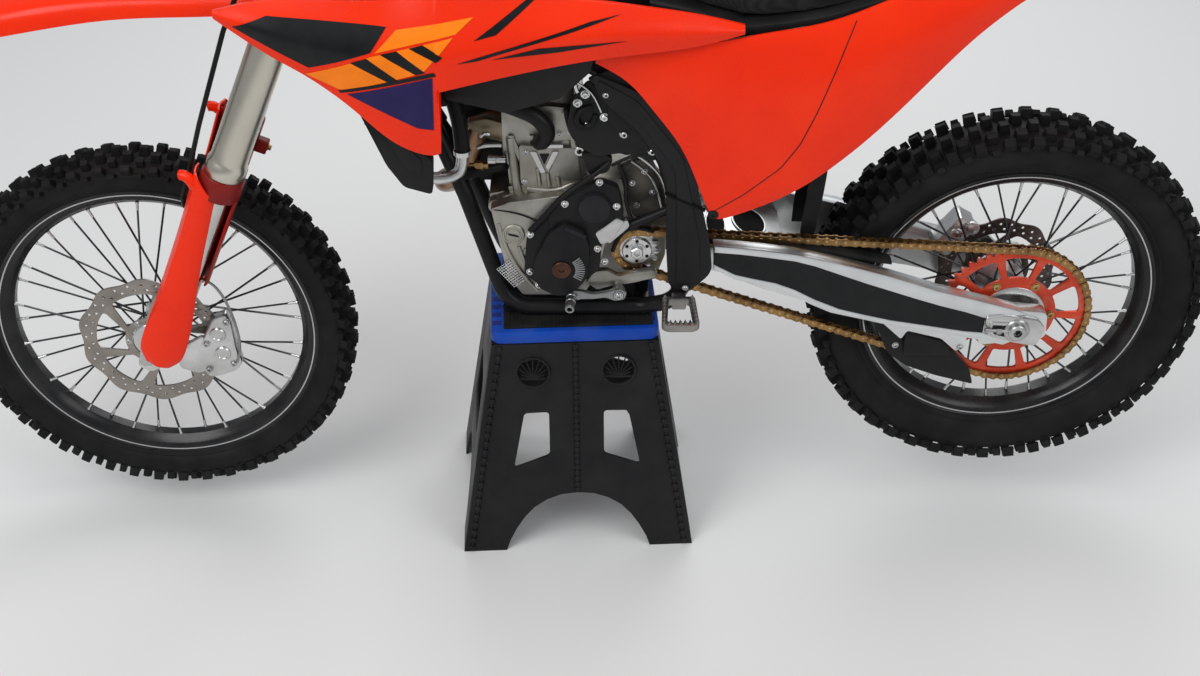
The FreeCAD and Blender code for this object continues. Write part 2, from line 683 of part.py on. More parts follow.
def coolant_hoses():
    """A rubber hose from the head to the left radiator and a pipe from its foot to the cylinder."""
    hose = tube([at_frame(-240, 240, -HEAD_HALF - size.seat_gap), at_frame(-240, 240, -92),
                 at_frame(-320, 270, -94), at_frame(-400, 284, -102),
                 at_frame(RADIATOR_BACK + size.seat_gap, 284, -102)], size.coolant_hose_radius, 40)
    pipe = tube([at_frame(-476, RADIATOR_FOOT - size.seat_gap, -120), at_frame(-476, 206, -120),
                 at_frame(-430, 172, -92), at_frame(-356, 148, -40), at_frame(-297, 148, -40)],
                size.coolant_pipe_radius, 40)
    return [hose, pipe]


def radiators():
    return [spanning_block(RADIATOR_FRONT, RADIATOR_BACK, RADIATOR_FOOT, 455, RADIATOR_INNER * side,
                           RADIATOR_OUTER * side) for side in SIDES]


def radiator_guard():
    outline = outline_at_frame([(-512, 330), (-474, 230), (-450, 192), (-406, 178), (-402, 240)])
    return plate(outline, RADIATOR_OUTER + size.seat_gap, 190, corner=6)


def side_panel_outline(side):
    front = [(-152, 380), (-100, 352), (-61, 294), (-16, 236), (11, 162), (32, 100), (42, 96)]
    rear = {LEFT: [(174, 152), (291, 259), (399, 387), (477, 463), (560, 510), (480, 520), (300, 478)],
            RIGHT: [(150, 140), (190, 210), (196, 300), (240, 402), (300, 430), (300, 478)]}[side]
    top = [(199, 432), (132, 429), (76, 416), (-10, 408), (-125, 402)]
    return outline_at_frame(front + rear + top)


def side_panels():
    inner = GUARD_INNER + 4 + size.seat_gap
    return [plate(side_panel_outline(side), side * inner, side * (inner + size.panel_wall), corner=12)
            for side in SIDES]


# Rear fender stations. Columns: behind the pivot, crown height, half width, depth of its sides
FENDER_STATIONS = ((432, 478, 84, 14), (500, 492, 96, 26), (620, 530, 104, 34), (740, 562, 98, 30),
                   (850, 580, 80, 22), (905, 584, 56, 12))


def arched_shell(stations, centre):
    """A shell with a flat crown and drooping sides, open below."""
    sections = []
    for back, crown, half, depth in stations:
        wall = size.panel_wall
        outer = [(-half, crown - depth), (-half * 0.8, crown - 5), (-half * 0.4, crown),
                 (half * 0.4, crown), (half * 0.8, crown - 5), (half, crown - depth)]
        inner = [(half - wall, crown - depth), (half * 0.8 - wall, crown - 5 - wall),
                 (half * 0.4, crown - wall), (-half * 0.4, crown - wall),
                 (-half * 0.8 + wall, crown - 5 - wall), (-half + wall, crown - depth)]
        sections.append([centre + Vector(back, side, up) for side, up in outer + inner])
    return loft(sections)


def rear_fender():
    back, up = TAIL_BAR
    rest = up + SUBFRAME_RADIUS - 1 + size.seat_gap
    bosses = [block(at_frame(back - 6, rest, side * 28 - 8), at_frame(back + 6, rest + 14, side * 28 + 8))
              for side in SIDES]
    return fused([arched_shell(FENDER_STATIONS, PIVOT)] + bosses)


def mud_flap():
    front_top, rear_top = [(back, between(back, AIRBOX_FLOOR, AIRBOX_HEEL) - 1.5 * size.seat_gap)
                           for back in (233, 236)]
    web = outline_at_frame([rear_top, (232, 115), (215, -25), (212, -25), (229, 115), front_top])
    wing = outline_at_frame([(233, 210), (230, 115), (213, -25), (184, -10), (192, 115), (206, 205)])
    return fused([plate(web, -52, 52), plate(wing, -52, -49), plate(wing, 49, 52)])


nodes.append(add_node("shrouds", both_sides(shroud())))
nodes.append(add_node("radiator_guards", both_sides(radiator_guard()) + both_sides(radiator_louvres())))
nodes.append(add_node("side_panels", side_panels()))
nodes.append(add_node("rear_fender", [rear_fender()]))
nodes.append(add_node("mud_flap", [mud_flap()]))


nodes.append(add_node("radiators", radiators()))
nodes.append(add_node("coolant_hoses", coolant_hoses()))


# Swingarm with its chain guide, shock absorber and rear brake

YOKE_TOP = 2
SHOCK_FOOT = 13
# Corners of the arms' lower edge. Columns: behind the pivot, above it
ARM_BELLY = (279, -106)
ARM_TAIL = (548, -172)


def swingarm_arm(side):
    """One arm: deep in the middle, narrower in plan at the pivot."""
    upper = [(-22, 16), (41, 20), (186, 6), (357, -50), (533, -100), (565, -109)]
    lower = [(565, -163), ARM_TAIL, ARM_BELLY, (123, -52), (43, -14), (-22, -18)]
    outline = outline_at_frame(upper + lower)
    slab = plate(outline, size.arm_inner * side, size.arm_outer * side)
    ahead = block(at_frame(-40, -60, min(size.arm_front_outer * side, size.arm_outer * side)),
                  at_frame(44, 60, max(size.arm_front_outer * side, size.arm_outer * side)))
    lug = plate([at_rear_axle(-70, 44), at_rear_axle(50, 30), at_rear_axle(54, -22), at_rear_axle(-60, -36)],
                size.arm_inner * side, size.arm_outer * side, corner=12)
    bore = disc(at_rear_axle(0, 0, 100 * side), size.rear_axle_radius, 60)
    return fused([slab, lug]).cut(fused([ahead, bore]))


def swingarm():
    yoke = plate(outline_at_frame([(-20, YOKE_TOP), (70, YOKE_TOP), (168, -22), (168, -52), (60, -38),
                                   (-20, -16)]), -size.arm_inner, size.arm_inner)
    pivot_tube = disc(PIVOT + Vector(0, 0, -4), 16, 2 * size.arm_inner)
    return fused([swingarm_arm(LEFT), swingarm_arm(RIGHT), yoke, pivot_tube])


def shock_absorber():
    top = at_frame(*SHOCK_TOP, 26)
    foot = at_frame(62, YOKE_TOP + SHOCK_FOOT + size.seat_gap, 0)
    way = (foot - top).normalize()
    length = (foot - top).Length
    parts = [bar(top + way * 26, foot - way * 24, 23), bar(top, foot, 9), disc(top, 17, 34),
             disc(foot, SHOCK_FOOT, 34)]
    for turn in range(7):
        parts.append(disc(top + way * (44 + turn * (length - 88) / 6), 31, 9, way))
    parts.append(bar(top + way * 28, top + way * 36, 32))
    parts.append(bar(foot - way * 40, foot - way * 32, 32))
    return fused(parts).cut(disc(top, SHOCK_BRIDGE + size.seat_gap, 60))


nodes.append(add_node("swingarm", [swingarm()]))
nodes.append(add_node("shock_absorber", [shock_absorber()]))


# Chain drive: pitch circles, the loop round them, its guide and slider

def pitch_radius(teeth):
    return size.chain_pitch / (2 * math.sin(math.pi / teeth))


def sprocket_radius(teeth):
    return pitch_radius(teeth) - CHAIN_HALF - size.seat_gap


DRIVE_PITCH = pitch_radius(size.front_teeth)
WHEEL_PITCH = pitch_radius(size.rear_teeth)
CHAIN_HALF = size.chain_height / 2


def chain_pins():
    """Pin places in the side view, evenly spaced along the pitch line round both sprockets."""
    way = (REAR_AXLE - DRIVE_CENTRE).normalize()
    spacing = (REAR_AXLE - DRIVE_CENTRE).Length
    over = Vector(-way.z, 0, way.x)
    lean = math.asin((WHEEL_PITCH - DRIVE_PITCH) / spacing)
    run = spacing * math.cos(lean)
    rear_turn = math.pi + 2 * lean
    front_turn = math.pi - 2 * lean
    loop = 2 * run + rear_turn * WHEEL_PITCH + front_turn * DRIVE_PITCH
    link_count = 2 * round(loop / size.chain_pitch / 2)

    def on_circle(centre, radius, angle):
        """Angles start at the upper tangent point and go round to the rear."""
        lifted = math.pi / 2 + lean - angle
        return centre + way * (math.cos(lifted) * radius) + over * (math.sin(lifted) * radius)

    pins = []
    for link in range(link_count):
        along = loop * link / link_count
        if along < run:
            start, end = on_circle(DRIVE_CENTRE, DRIVE_PITCH, 0), on_circle(REAR_AXLE, WHEEL_PITCH, 0)
            pins.append(start + (end - start) * (along / run))
            continue
        along -= run
        if along < rear_turn * WHEEL_PITCH:
            pins.append(on_circle(REAR_AXLE, WHEEL_PITCH, along / WHEEL_PITCH))
            continue
        along -= rear_turn * WHEEL_PITCH
        if along < run:
            start = on_circle(REAR_AXLE, WHEEL_PITCH, rear_turn)
            end = on_circle(DRIVE_CENTRE, DRIVE_PITCH, rear_turn)
            pins.append(start + (end - start) * (along / run))
            continue
        pins.append(on_circle(DRIVE_CENTRE, DRIVE_PITCH, rear_turn + (along - run) / DRIVE_PITCH))
    return pins


def chain():
    """One loop of links with waists between their pins, all of flat faces."""
    pins = chain_pins()
    count = len(pins)
    outer, inner = [], []
    for index, pin in enumerate(pins):
        following = pins[(index + 1) % count]
        before = pins[index - 1]
        along = (following - before).normalize()
        out = Vector(-along.z, 0, along.x)
        outer.append(pin + out * CHAIN_HALF)
        inner.append(pin - out * CHAIN_HALF)
        middle = (pin + following) * 0.5
        run = (following - pin).normalize()
        out = Vector(-run.z, 0, run.x) * (size.chain_waist / 2)
        outer.append(middle + out)
        inner.append(middle - out)
    left = Vector(0, -size.chain_side - size.chain_width / 2, 0)
    right = Vector(0, -size.chain_side + size.chain_width / 2, 0)
    faces = []
    for index in range(len(outer)):
        following = (index + 1) % len(outer)
        for edge in (outer, inner):
            faces.append(flat_face(edge[index] + left, edge[following] + left, edge[following] + right,
                                   edge[index] + right))
        for side in (left, right):
            faces.append(flat_face(outer[index] + side, outer[following] + side, inner[following] + side,
                                   inner[index] + side))
    return Part.Solid(Part.Shell(faces))


def sprocket(centre, radius, bore_radius, window_count):
    """A toothless plate whose rim ends just inside the chain."""
    plate_disc = disc(centre, radius, size.sprocket_thickness)
    holes = [disc(centre, bore_radius, size.sprocket_thickness + 2)]
    for index in range(window_count):
        turn = 360 / window_count
        inner, outer = bore_radius + 16, radius - 20
        half = math.radians(turn / 2 - 8)
        spots = [Vector(math.sin(angle) * reach, 0, math.cos(angle) * reach)
                 for reach, angle in ((inner, -half), (outer, -half), (outer, half), (inner, half))]
        window = plate(spots, -size.sprocket_thickness, size.sprocket_thickness, corner=6)
        window.rotate(Vector(0, 0, 0), Y_WAY, index * turn)
        window.translate(centre)
        holes.append(window)
    return plate_disc.cut(fused(holes))


def drive_sprocket():
    centre = DRIVE_CENTRE + Vector(0, -size.chain_side, 0)
    boss = bar(Vector(centre.x, -CASE_LEFT_DEEP, centre.z), centre - Vector(0, 8, 0), 15)
    return fused([disc(centre, sprocket_radius(size.front_teeth), size.sprocket_thickness), boss])


def chain_run_place(share, below):
    """A place on the chain's lower run, from the drive sprocket to the wheel's, and below it."""
    start = DRIVE_CENTRE + Vector(-0.35, 0, -0.94) * DRIVE_PITCH
    end = REAR_AXLE + Vector(-0.35, 0, -0.94) * WHEEL_PITCH
    spot = start + (end - start) * share
    return spot + Vector(-0.335, 0, -0.942) * below


def under_arm(back):
    """A place just below the arm's lower edge."""
    share = (back - ARM_BELLY[0]) / (ARM_TAIL[0] - ARM_BELLY[0])
    return at_frame(back, ARM_BELLY[1] + share * (ARM_TAIL[1] - ARM_BELLY[1]) - size.seat_gap)


def chain_guide():
    inner, outer = 11, 17
    pieces = []
    for low, high in ((-outer, -inner), (inner, outer)):
        outline = [chain_run_place(0.70, -16), chain_run_place(0.89, -16), chain_run_place(0.87, 22),
                   chain_run_place(0.73, 22)]
        pieces.append(plate(outline, -size.chain_side + low, -size.chain_side + high, corner=6))
    skid = [chain_run_place(0.70, 10), chain_run_place(0.89, 10), chain_run_place(0.87, 22),
            chain_run_place(0.73, 22)]
    pieces.append(plate(skid, -size.chain_side - outer, -size.chain_side + outer))
    bracket = [chain_run_place(0.76, -14), chain_run_place(0.80, -14), under_arm(404), under_arm(360)]
    pieces.append(plate(bracket, -size.arm_outer + 6, -size.chain_side - inner))
    return fused(pieces)


nodes.append(add_node("chain", [chain()]))
nodes.append(add_node("drive_sprocket", [drive_sprocket()]))
nodes.append(add_node("chain_guide", [chain_guide()]))


# Feet and controls on the frame

def footpegs():
    pegs = []
    for side in SIDES:
        deck = spanning_block(-40, 10, -58, -42, (PEG_INNER + 14) * side, 232 * side)
        hollow = spanning_block(-32, 2, -64, -30, (PEG_INNER + 26) * side, 224 * side)
        arm = spanning_block(-26, -2, -70, -50, (PEG_INNER + size.seat_gap) * side, (PEG_INNER + 26) * side)
        pegs.append(fused([deck.cut(hollow), arm]))
    return pegs


def foot_levers():
    shift = tube([at_frame(-114, -62, -98), at_frame(-160, -58, -112), at_frame(-196, -80, -122),
                  at_frame(-199, -80, -150)], 6, 12)
    shift_boss = bar(at_frame(-114, -62, -CASE_LEFT_WIDE + 42), at_frame(-114, -62, -104), 10)
    brake = tube([at_frame(-66, -58, 132), at_frame(-130, -74, 134), at_frame(-215, -62, 140),
                  at_frame(-222, -62, 168)], 6, 14)
    brake_boss = bar(at_frame(-66, -58, CASE_RIGHT_WIDE), at_frame(-66, -58, 138), 9)
    return [fused([shift, shift_boss]), fused([brake, brake_boss])]


nodes.append(add_node("footpegs", footpegs()))
nodes.append(add_node("foot_levers", foot_levers()))


# Rear axle and brake

def rear_caliper():
    plane = size.rear_disc_side
    bracket = plate([at_rear_axle(-26, 24), at_rear_axle(20, 28), at_rear_axle(-76, 124), at_rear_axle(-108, 92)],
                    plane + 8, size.arm_inner - size.seat_gap)
    body = plate([at_rear_axle(-128, 62), at_rear_axle(-82, 126), at_rear_axle(-48, 106), at_rear_axle(-96, 44)],
                 plane - 22, plane + 19, corner=8)
    slot = disc(at_rear_axle(0, 0, plane), size.rear_disc_radius + 3, size.disc_thickness + 5)
    return fused([bracket, body]).cut(slot)


def rear_axle_pieces():
    reach = size.arm_outer + 6
    shaft = round_piece("rear_axle_shaft", "Sizes.rear_axle_radius", f"{2 * reach}",
                        at_rear_axle(0, 0, -reach), Y_WAY)
    pieces = [shaft]
    spacer_from = size.rear_hub_width / 2 + size.seat_gap
    for side, name in ((LEFT, "left"), (RIGHT, "right")):
        pieces.append(round_piece(f"rear_spacer_{name}", "Sizes.rear_axle_radius + 5",
                                  f"Sizes.arm_inner - Sizes.rear_hub_width / 2 - Sizes.seat_gap",
                                  at_rear_axle(0, 0, spacer_from * side), Y_WAY * side))
        pieces.append(round_piece(f"rear_nut_{name}", "Sizes.rear_axle_radius + 6", "9",
                                  at_rear_axle(0, 0, size.arm_outer * side), Y_WAY * side))
    return pieces


nodes.append(add_node("rear_caliper", [rear_caliper()]))
nodes.append(joined_pieces("rear_axle", rear_axle_pieces()))


# Steering: clamps and stem, fork, guards, axle, brake, fender, plate, bars

LOWER_CLAMP = HEAD_LOW - size.seat_gap
UPPER_CLAMP = HEAD_HIGH + size.seat_gap
BAR_LEVEL = UPPER_CLAMP + size.upper_clamp_thickness + size.bar_over_clamp
BAR_AHEAD = 8
SHOE_HALF = 15


def clamp_outline():
    reach = FORK_SIDE + size.outer_tube_radius + 7
    legs = size.fork_offset
    # Columns: ahead of the steering axis, side
    return [(legs + 36, reach - 26), (legs + 30, reach - 60), (32, 44), (26, 0), (32, -44),
            (legs + 30, 60 - reach), (legs + 36, 26 - reach), (legs + 8, -reach), (legs - 22, -reach),
            (legs - 36, 26 - reach), (legs - 36, -30), (-22, -14), (-26, 0), (-22, 14), (legs - 36, 30),
            (legs - 36, reach - 26),
            (legs - 22, reach), (legs + 8, reach)]


def clamp(along, thickness):
    outline = [at_fork(along, ahead, side) for ahead, side in clamp_outline()]
    slab = Part.Face(rounded_wire(outline, 10)).extrude(FORK_UP * thickness)
    tubes = [bar(at_fork(along - 5, size.fork_offset, side * FORK_SIDE),
                 at_fork(along + thickness + 5, size.fork_offset, side * FORK_SIDE),
                 size.outer_tube_radius) for side in SIDES]
    return slab.cut(fused(tubes))


def triple_clamps():
    lower = clamp(LOWER_CLAMP - size.clamp_thickness, size.clamp_thickness)
    upper = clamp(UPPER_CLAMP, size.upper_clamp_thickness)
    stem = bar(at_fork(LOWER_CLAMP - size.clamp_thickness / 2, 0),
               at_fork(UPPER_CLAMP + size.upper_clamp_thickness + 6, 0), size.stem_radius)
    top = UPPER_CLAMP + size.upper_clamp_thickness
    risers = []
    for side in SIDES:
        risers.append(bar(at_fork(top - 2, BAR_AHEAD, 34 * side),
                          at_fork(BAR_LEVEL - size.bar_radius - size.seat_gap, BAR_AHEAD, 34 * side), 14))
    return fused([lower, upper, stem] + risers)


def fork_tubes():
    tubes = []
    for side, name in ((LEFT, "left"), (RIGHT, "right")):
        foot = at_fork(size.fork_seal, size.fork_offset, side * FORK_SIDE)
        outer = round_piece(f"outer_tube_{name}", "Sizes.outer_tube_radius",
                            "Sizes.fork_top - Sizes.fork_seal", foot, FORK_UP)
        seal = round_piece(f"fork_seal_{name}", "Sizes.outer_tube_radius + 3", "26", foot, FORK_UP)
        cap = round_piece(f"fork_cap_{name}", "Sizes.outer_tube_radius - 6", "Sizes.fork_top - Sizes.fork_seal + 9",
                          foot, FORK_UP)
        tubes += [outer, seal, cap]
    return tubes


def fork_legs():
    legs = []
    for side in SIDES:
        centre = side * FORK_SIDE
        tube_part = bar(at_fork(34, size.fork_offset, centre), at_fork(size.fork_seal, size.fork_offset, centre),
                        size.inner_tube_radius)
        shoe = plate([at_fork(-20, 33), at_fork(-18, 58), at_fork(20, 62), at_fork(52, 48),
                      at_fork(60, 6), at_fork(10, 6)], centre - SHOE_HALF, centre + SHOE_HALF, corner=10)
        bore = disc(FRONT_AXLE + Vector(0, centre, 0), size.front_axle_radius, 80)
        legs.append(fused([tube_part, shoe]).cut(bore))
    return legs


# Fork guard stations. Columns: along the fork, front and rear edge ahead of the axis, bulge sideways, and
# how far outside the leg's centre its front edge ends
GUARD_STATIONS = ((4, 48, 8, 27, 20), (34, 68, -8, 30, 20), (78, 68, -9, 33, 20), (140, 67, -9, 33, -14),
                  (size.fork_seal - 102, 68, -8, 33, -14), (size.fork_seal - 5, 74, -4, 36, -14))


def fork_guard():
    """The right guard: a shell round the outside and front of the inner tube."""
    sections = []
    for along, front, rear, bulge, lip in GUARD_STATIONS:
        middle = (front + rear) / 2
        wall = size.panel_wall
        nose = (lip + bulge * 0.8) / 2
        rear_lip = max(lip, 4)
        outer = [(rear, rear_lip), (rear + 6, bulge * 0.8), (middle, bulge + 3), (front - 8, bulge * 0.85),
                 (front + 1, nose), (front - 3, lip)]
        inner = [(front - 3 - wall, lip), (front + 1 - wall, nose), (front - 8 - wall, bulge * 0.85 - wall),
                 (middle, bulge + 3 - wall), (rear + 6 + wall, bulge * 0.8 - wall), (rear + wall, rear_lip)]
        sections.append([at_fork(along, ahead, FORK_SIDE + out) for ahead, out in outer + inner])
    boss = bar(at_fork(14, 36, FORK_SIDE + SHOE_HALF + size.seat_gap), at_fork(14, 36, FORK_SIDE + 29), 7)
    return fused([loft(sections), boss])


def front_axle_pieces():
    reach = FORK_SIDE + SHOE_HALF
    pieces = [round_piece("front_axle_shaft", "Sizes.front_axle_radius", f"{2 * reach}",
                          FRONT_AXLE + Vector(0, -reach, 0), Y_WAY)]
    for side, name in ((LEFT, "left"), (RIGHT, "right")):
        start = size.front_hub_width / 2 + size.seat_gap
        pieces.append(round_piece(f"front_spacer_{name}", "Sizes.front_axle_radius + 5",
                                  f"Sizes.fork_spread / 2 - {SHOE_HALF} - Sizes.front_hub_width / 2 - Sizes.seat_gap",
                                  FRONT_AXLE + Vector(0, start * side, 0), Y_WAY * side))
    return pieces


# Corners of the caliper's upper rear face. Columns: behind the axle, above it
CALIPER_CROWN = (98, 104)
CALIPER_HEEL = (140, 76)


def caliper_port(out):
    """A place square off the middle of the front caliper's upper rear face."""
    start, end = CALIPER_CROWN, CALIPER_HEEL
    across = Vector(end[0] - start[0], 0, end[1] - start[1])
    middle = FRONT_AXLE + Vector((start[0] + end[0]) / 2, -size.front_disc_side, (start[1] + end[1]) / 2)
    return middle + Vector(-across.z, 0, across.x).normalize() * out


def front_brake_hose():
    """From the right lever across the clamps, down before the left fork leg and round it to the caliper."""
    chamber_end = right_chamber()[0]
    return tube([chamber_end, chamber_end - Vector(0, 45, 0), at_bar(-48, 46, 120), at_bar(-70, -6, 36),
                 at_fork(872, 82, -34), at_fork(800, 92, -84), at_fork(650, 96, -116), at_fork(480, 87, -114),
                 at_fork(385, 80, -99), at_fork(322, 77, -84), at_fork(272, 58, -72), at_fork(232, 20, -72),
                 caliper_port(76) + Vector(4, -6, 0), caliper_port(38), caliper_port(size.seat_gap)],
                size.brake_hose_radius, 60)


def front_caliper():
    plane = -size.front_disc_side
    outline = [(62, 44), CALIPER_CROWN, CALIPER_HEEL, (140, 10), (98, 4)]
    body = plate([FRONT_AXLE + Vector(back, 0, up) for back, up in outline], plane - 24, plane + 20, corner=10)
    slot = disc(FRONT_AXLE + Vector(0, plane, 0), size.front_disc_radius + 3, size.disc_thickness + 5)
    bracket = plate([at_fork(-12, 14), at_fork(30, 8), FRONT_AXLE + Vector(106, 0, 76),
                     FRONT_AXLE + Vector(104, 0, 10)], SHOE_HALF - FORK_SIDE, plane - 14)
    return fused([body, bracket]).cut(slot)


# Front fender stations from the head. Columns: behind it, crown height, half width, depth of its sides
FRONT_FENDER_STATIONS = ((-40, -86, 44, 18), (-120, -76, 64, 26), (-220, -66, 74, 34), (-330, -64, 76, 36),
                         (-450, -72, 88, 44), (-560, -98, 86, 40), (-660, -134, 66, 26), (-716, -158, 40, 12))


def front_fender():
    """The shell and the two bosses that bolt it under the lower clamp."""
    under_clamp = LOWER_CLAMP - size.clamp_thickness - size.seat_gap
    bosses = [bar(at_fork(under_clamp - 12, 18, side * 28), at_fork(under_clamp, 18, side * 28), 11)
              for side in SIDES]
    return fused([arched_shell(FRONT_FENDER_STATIONS, HEAD)] + bosses)


def front_plate():
    outline = [at_fork(745, 112), at_fork(930, 104), at_fork(960, 90)]
    back = [at_fork(956, 86), at_fork(928, 100), at_fork(743, 108)]
    shield = plate(outline + back, -78, 78)
    seat_on = UPPER_CLAMP + size.upper_clamp_thickness + size.seat_gap
    tab = [at_fork(seat_on, 34), at_fork(seat_on, 106), at_fork(seat_on + 5, 106), at_fork(seat_on + 5, 34)]
    tabs = [plate(tab, side * 58 - 8, side * 58 + 8) for side in SIDES]
    return fused([shield] + tabs)


def at_bar(back, up, side):
    return at_fork(BAR_LEVEL, BAR_AHEAD, side) + Vector(back, 0, up)


GRIP_ROOT = at_bar(44, 70, size.bar_reach - size.grip_length - 60)
BAR_END = at_bar(66, 68, size.bar_reach)


def handlebar():
    right = [at_bar(0, 0, 62), at_bar(12, 62, 170), GRIP_ROOT, BAR_END]
    left = [Vector(spot.x, -spot.y, spot.z) for spot in reversed(right)]
    return tube(left + right, size.bar_radius, 60)


def grip(side):
    way = (GRIP_ROOT - BAR_END).normalize()
    sleeve = Part.makeCylinder(size.grip_radius, size.grip_length, BAR_END, way)
    flange = Part.makeCylinder(size.grip_radius + 9, 5, BAR_END + way * (size.grip_length - 5), way)
    bore = Part.makeCylinder(size.bar_radius + 0.1, size.grip_length + 20, BAR_END - way * 10, way)
    right = fused([sleeve, flange]).cut(bore)
    return right if side > 0 else mirrored(right)


def perch_ends():
    """Inner and outer end of the right lever perch, on the bar."""
    way = (GRIP_ROOT - BAR_END).normalize()
    return BAR_END + way * (size.grip_length + 26), BAR_END + way * (size.grip_length + 2)


def right_chamber():
    """Where the hose leaves the right fluid chamber, then the chamber's lowest and highest corners."""
    hub_end, hub_start = perch_ends()
    centre = (hub_start + hub_end) * 0.5
    low, high = centre + Vector(-60, -26, -10), centre + Vector(-15, 8, 14)
    return Vector(centre.x - 38, low.y - size.seat_gap, centre.z + 2), low, high


def controls():
    """Lever perches inside the grips, each with its fluid chamber and lever."""
    hub_end, hub_start = perch_ends()
    way = (hub_end - hub_start).normalize()
    centre = (hub_start + hub_end) * 0.5
    perch = bar(hub_start, hub_end, 18)
    core = bar(hub_start - way * 5, hub_end + way * 5, size.bar_radius + size.seat_gap)
    chamber = block(*right_chamber()[1:])
    lever = tube([centre + Vector(-48, 0, 0), centre + Vector(-62, 60, 0), centre + Vector(-40, 140, -2)], 5, 60)
    return both_sides(fused([perch, chamber, lever]).cut(core))


def bar_pad():
    """A foam block over the middle of the bar."""
    foam = block(at_bar(-24, 2, -44), at_bar(24, 34, 44))
    edges = [edge for edge in foam.Edges if abs(edge.tangentAt(edge.FirstParameter).y) > 0.9
             and edge.CenterOfMass.z > foam.BoundBox.Center.z]
    core = bar(at_bar(0, 0, -70), at_bar(0, 0, 70), size.bar_radius + size.seat_gap)
    return foam.makeFillet(10, edges).cut(core)


nodes.append(add_node("triple_clamps", [triple_clamps()]))
nodes.append(joined_pieces("fork_tubes", fork_tubes()))
nodes.append(add_node("fork_legs", fork_legs()))
nodes.append(add_node("fork_guards", both_sides(fork_guard())))
nodes.append(joined_pieces("front_axle", front_axle_pieces()))
nodes.append(add_node("front_caliper", [front_caliper()]))
nodes.append(add_node("front_fender", [front_fender()]))
nodes.append(add_node("front_plate", [front_plate()]))
nodes.append(add_node("handlebar", [handlebar()]))
nodes.append(add_node("grips", [grip(side) for side in SIDES]))
nodes.append(add_node("controls", controls()))
nodes.append(add_node("bar_pad", [bar_pad()]))
nodes.append(add_node("front_brake_hose", [front_brake_hose()]))


# Wheels: tyre, rim, hub with its spokes, and brake disc

# Tread strips. Values: shares of the half width where the middle knobs end and the shoulder knobs start
TREAD_STRIPS = {"front": (0.42, 0.60), "rear": (0.44, 0.60)}


def knobby_tyre(wheel, centre):
    """A ring of flat faces. Middle and shoulder knobs stand up by turns round the tread."""
    rows = int(getattr(size, f"{wheel}_knob_rows"))
    lip = getattr(size, f"{wheel}_rim_radius")
    crown = getattr(size, f"{wheel}_tyre_radius") - size.knob_height
    half = getattr(size, f"{wheel}_tyre_width") / 2
    bead = getattr(size, f"{wheel}_rim_width") / 2 - size.rim_wall - size.seat_gap
    middle_edge, shoulder_edge = (share * half for share in TREAD_STRIPS[wheel])
    sides = (-half, -shoulder_edge, -middle_edge, middle_edge, shoulder_edge, half)
    middle, shoulders = {2}, {0, 4}
    half_row = math.pi / rows

    def tread(side, rise=0):
        return crown - size.crown_drop * (side / half) ** 2 + rise

    bead_radius = (lip - size.bead_depth) / math.cos(half_row / 2)
    # Columns: radius, side
    wall = ((tread(half) - 24, half - 2), (lip + 3, bead), (bead_radius, bead))
    faces = []
    for cell in range(2 * rows):
        start, end = cell * half_row, (cell + 1) * half_row
        raised, raised_next = (middle, shoulders) if cell % 2 == 0 else (shoulders, middle)

        def strip_face(first, second):
            """From one (radius, side) edge to another, round the cell."""
            faces.append(flat_face(ring_spot(centre, *first, start), ring_spot(centre, *first, end),
                                   ring_spot(centre, *second, end), ring_spot(centre, *second, start)))

        for strip, (low, high) in enumerate(zip(sides, sides[1:])):
            rise = size.knob_height if strip in raised else 0
            strip_face((tread(low, rise), low), (tread(high, rise), high))
            if rise:
                strip_face((tread(low), low), (tread(low, rise), low))
                strip_face((tread(high), high), (tread(high, rise), high))
            if strip in raised ^ raised_next:
                step = size.knob_height
                faces.append(flat_face(
                    ring_spot(centre, tread(low), low, end), ring_spot(centre, tread(low, step), low, end),
                    ring_spot(centre, tread(high, step), high, end), ring_spot(centre, tread(high), high, end)))
        for side in SIDES:
            edge = (tread(half), side * half)
            for radius, out in wall:
                strip_face(edge, (radius, side * out))
                edge = (radius, side * out)
        strip_face((bead_radius, -bead), (bead_radius, bead))
    return Part.Solid(Part.Shell(faces))


def rim_corners(wheel):
    lip, half = f"Sizes.{wheel}_rim_radius", f"Sizes.{wheel}_rim_width / 2"
    wall, depth = "Sizes.rim_wall", "Sizes.rim_depth"
    inner = [(lip, f"{half} - {wall}"), (f"{lip} - Sizes.bead_depth - 1", f"{half} - {wall}"),
             (f"{lip} - {depth} + {wall}", f"{half} - 15")]
    outer = [(f"{lip} - {depth}", f"{half} - 13"), (f"{lip} - Sizes.bead_depth", half), (lip, half)]
    one_side = outer + inner
    return one_side + [(radius, f"-({side})") for radius, side in reversed(one_side)]


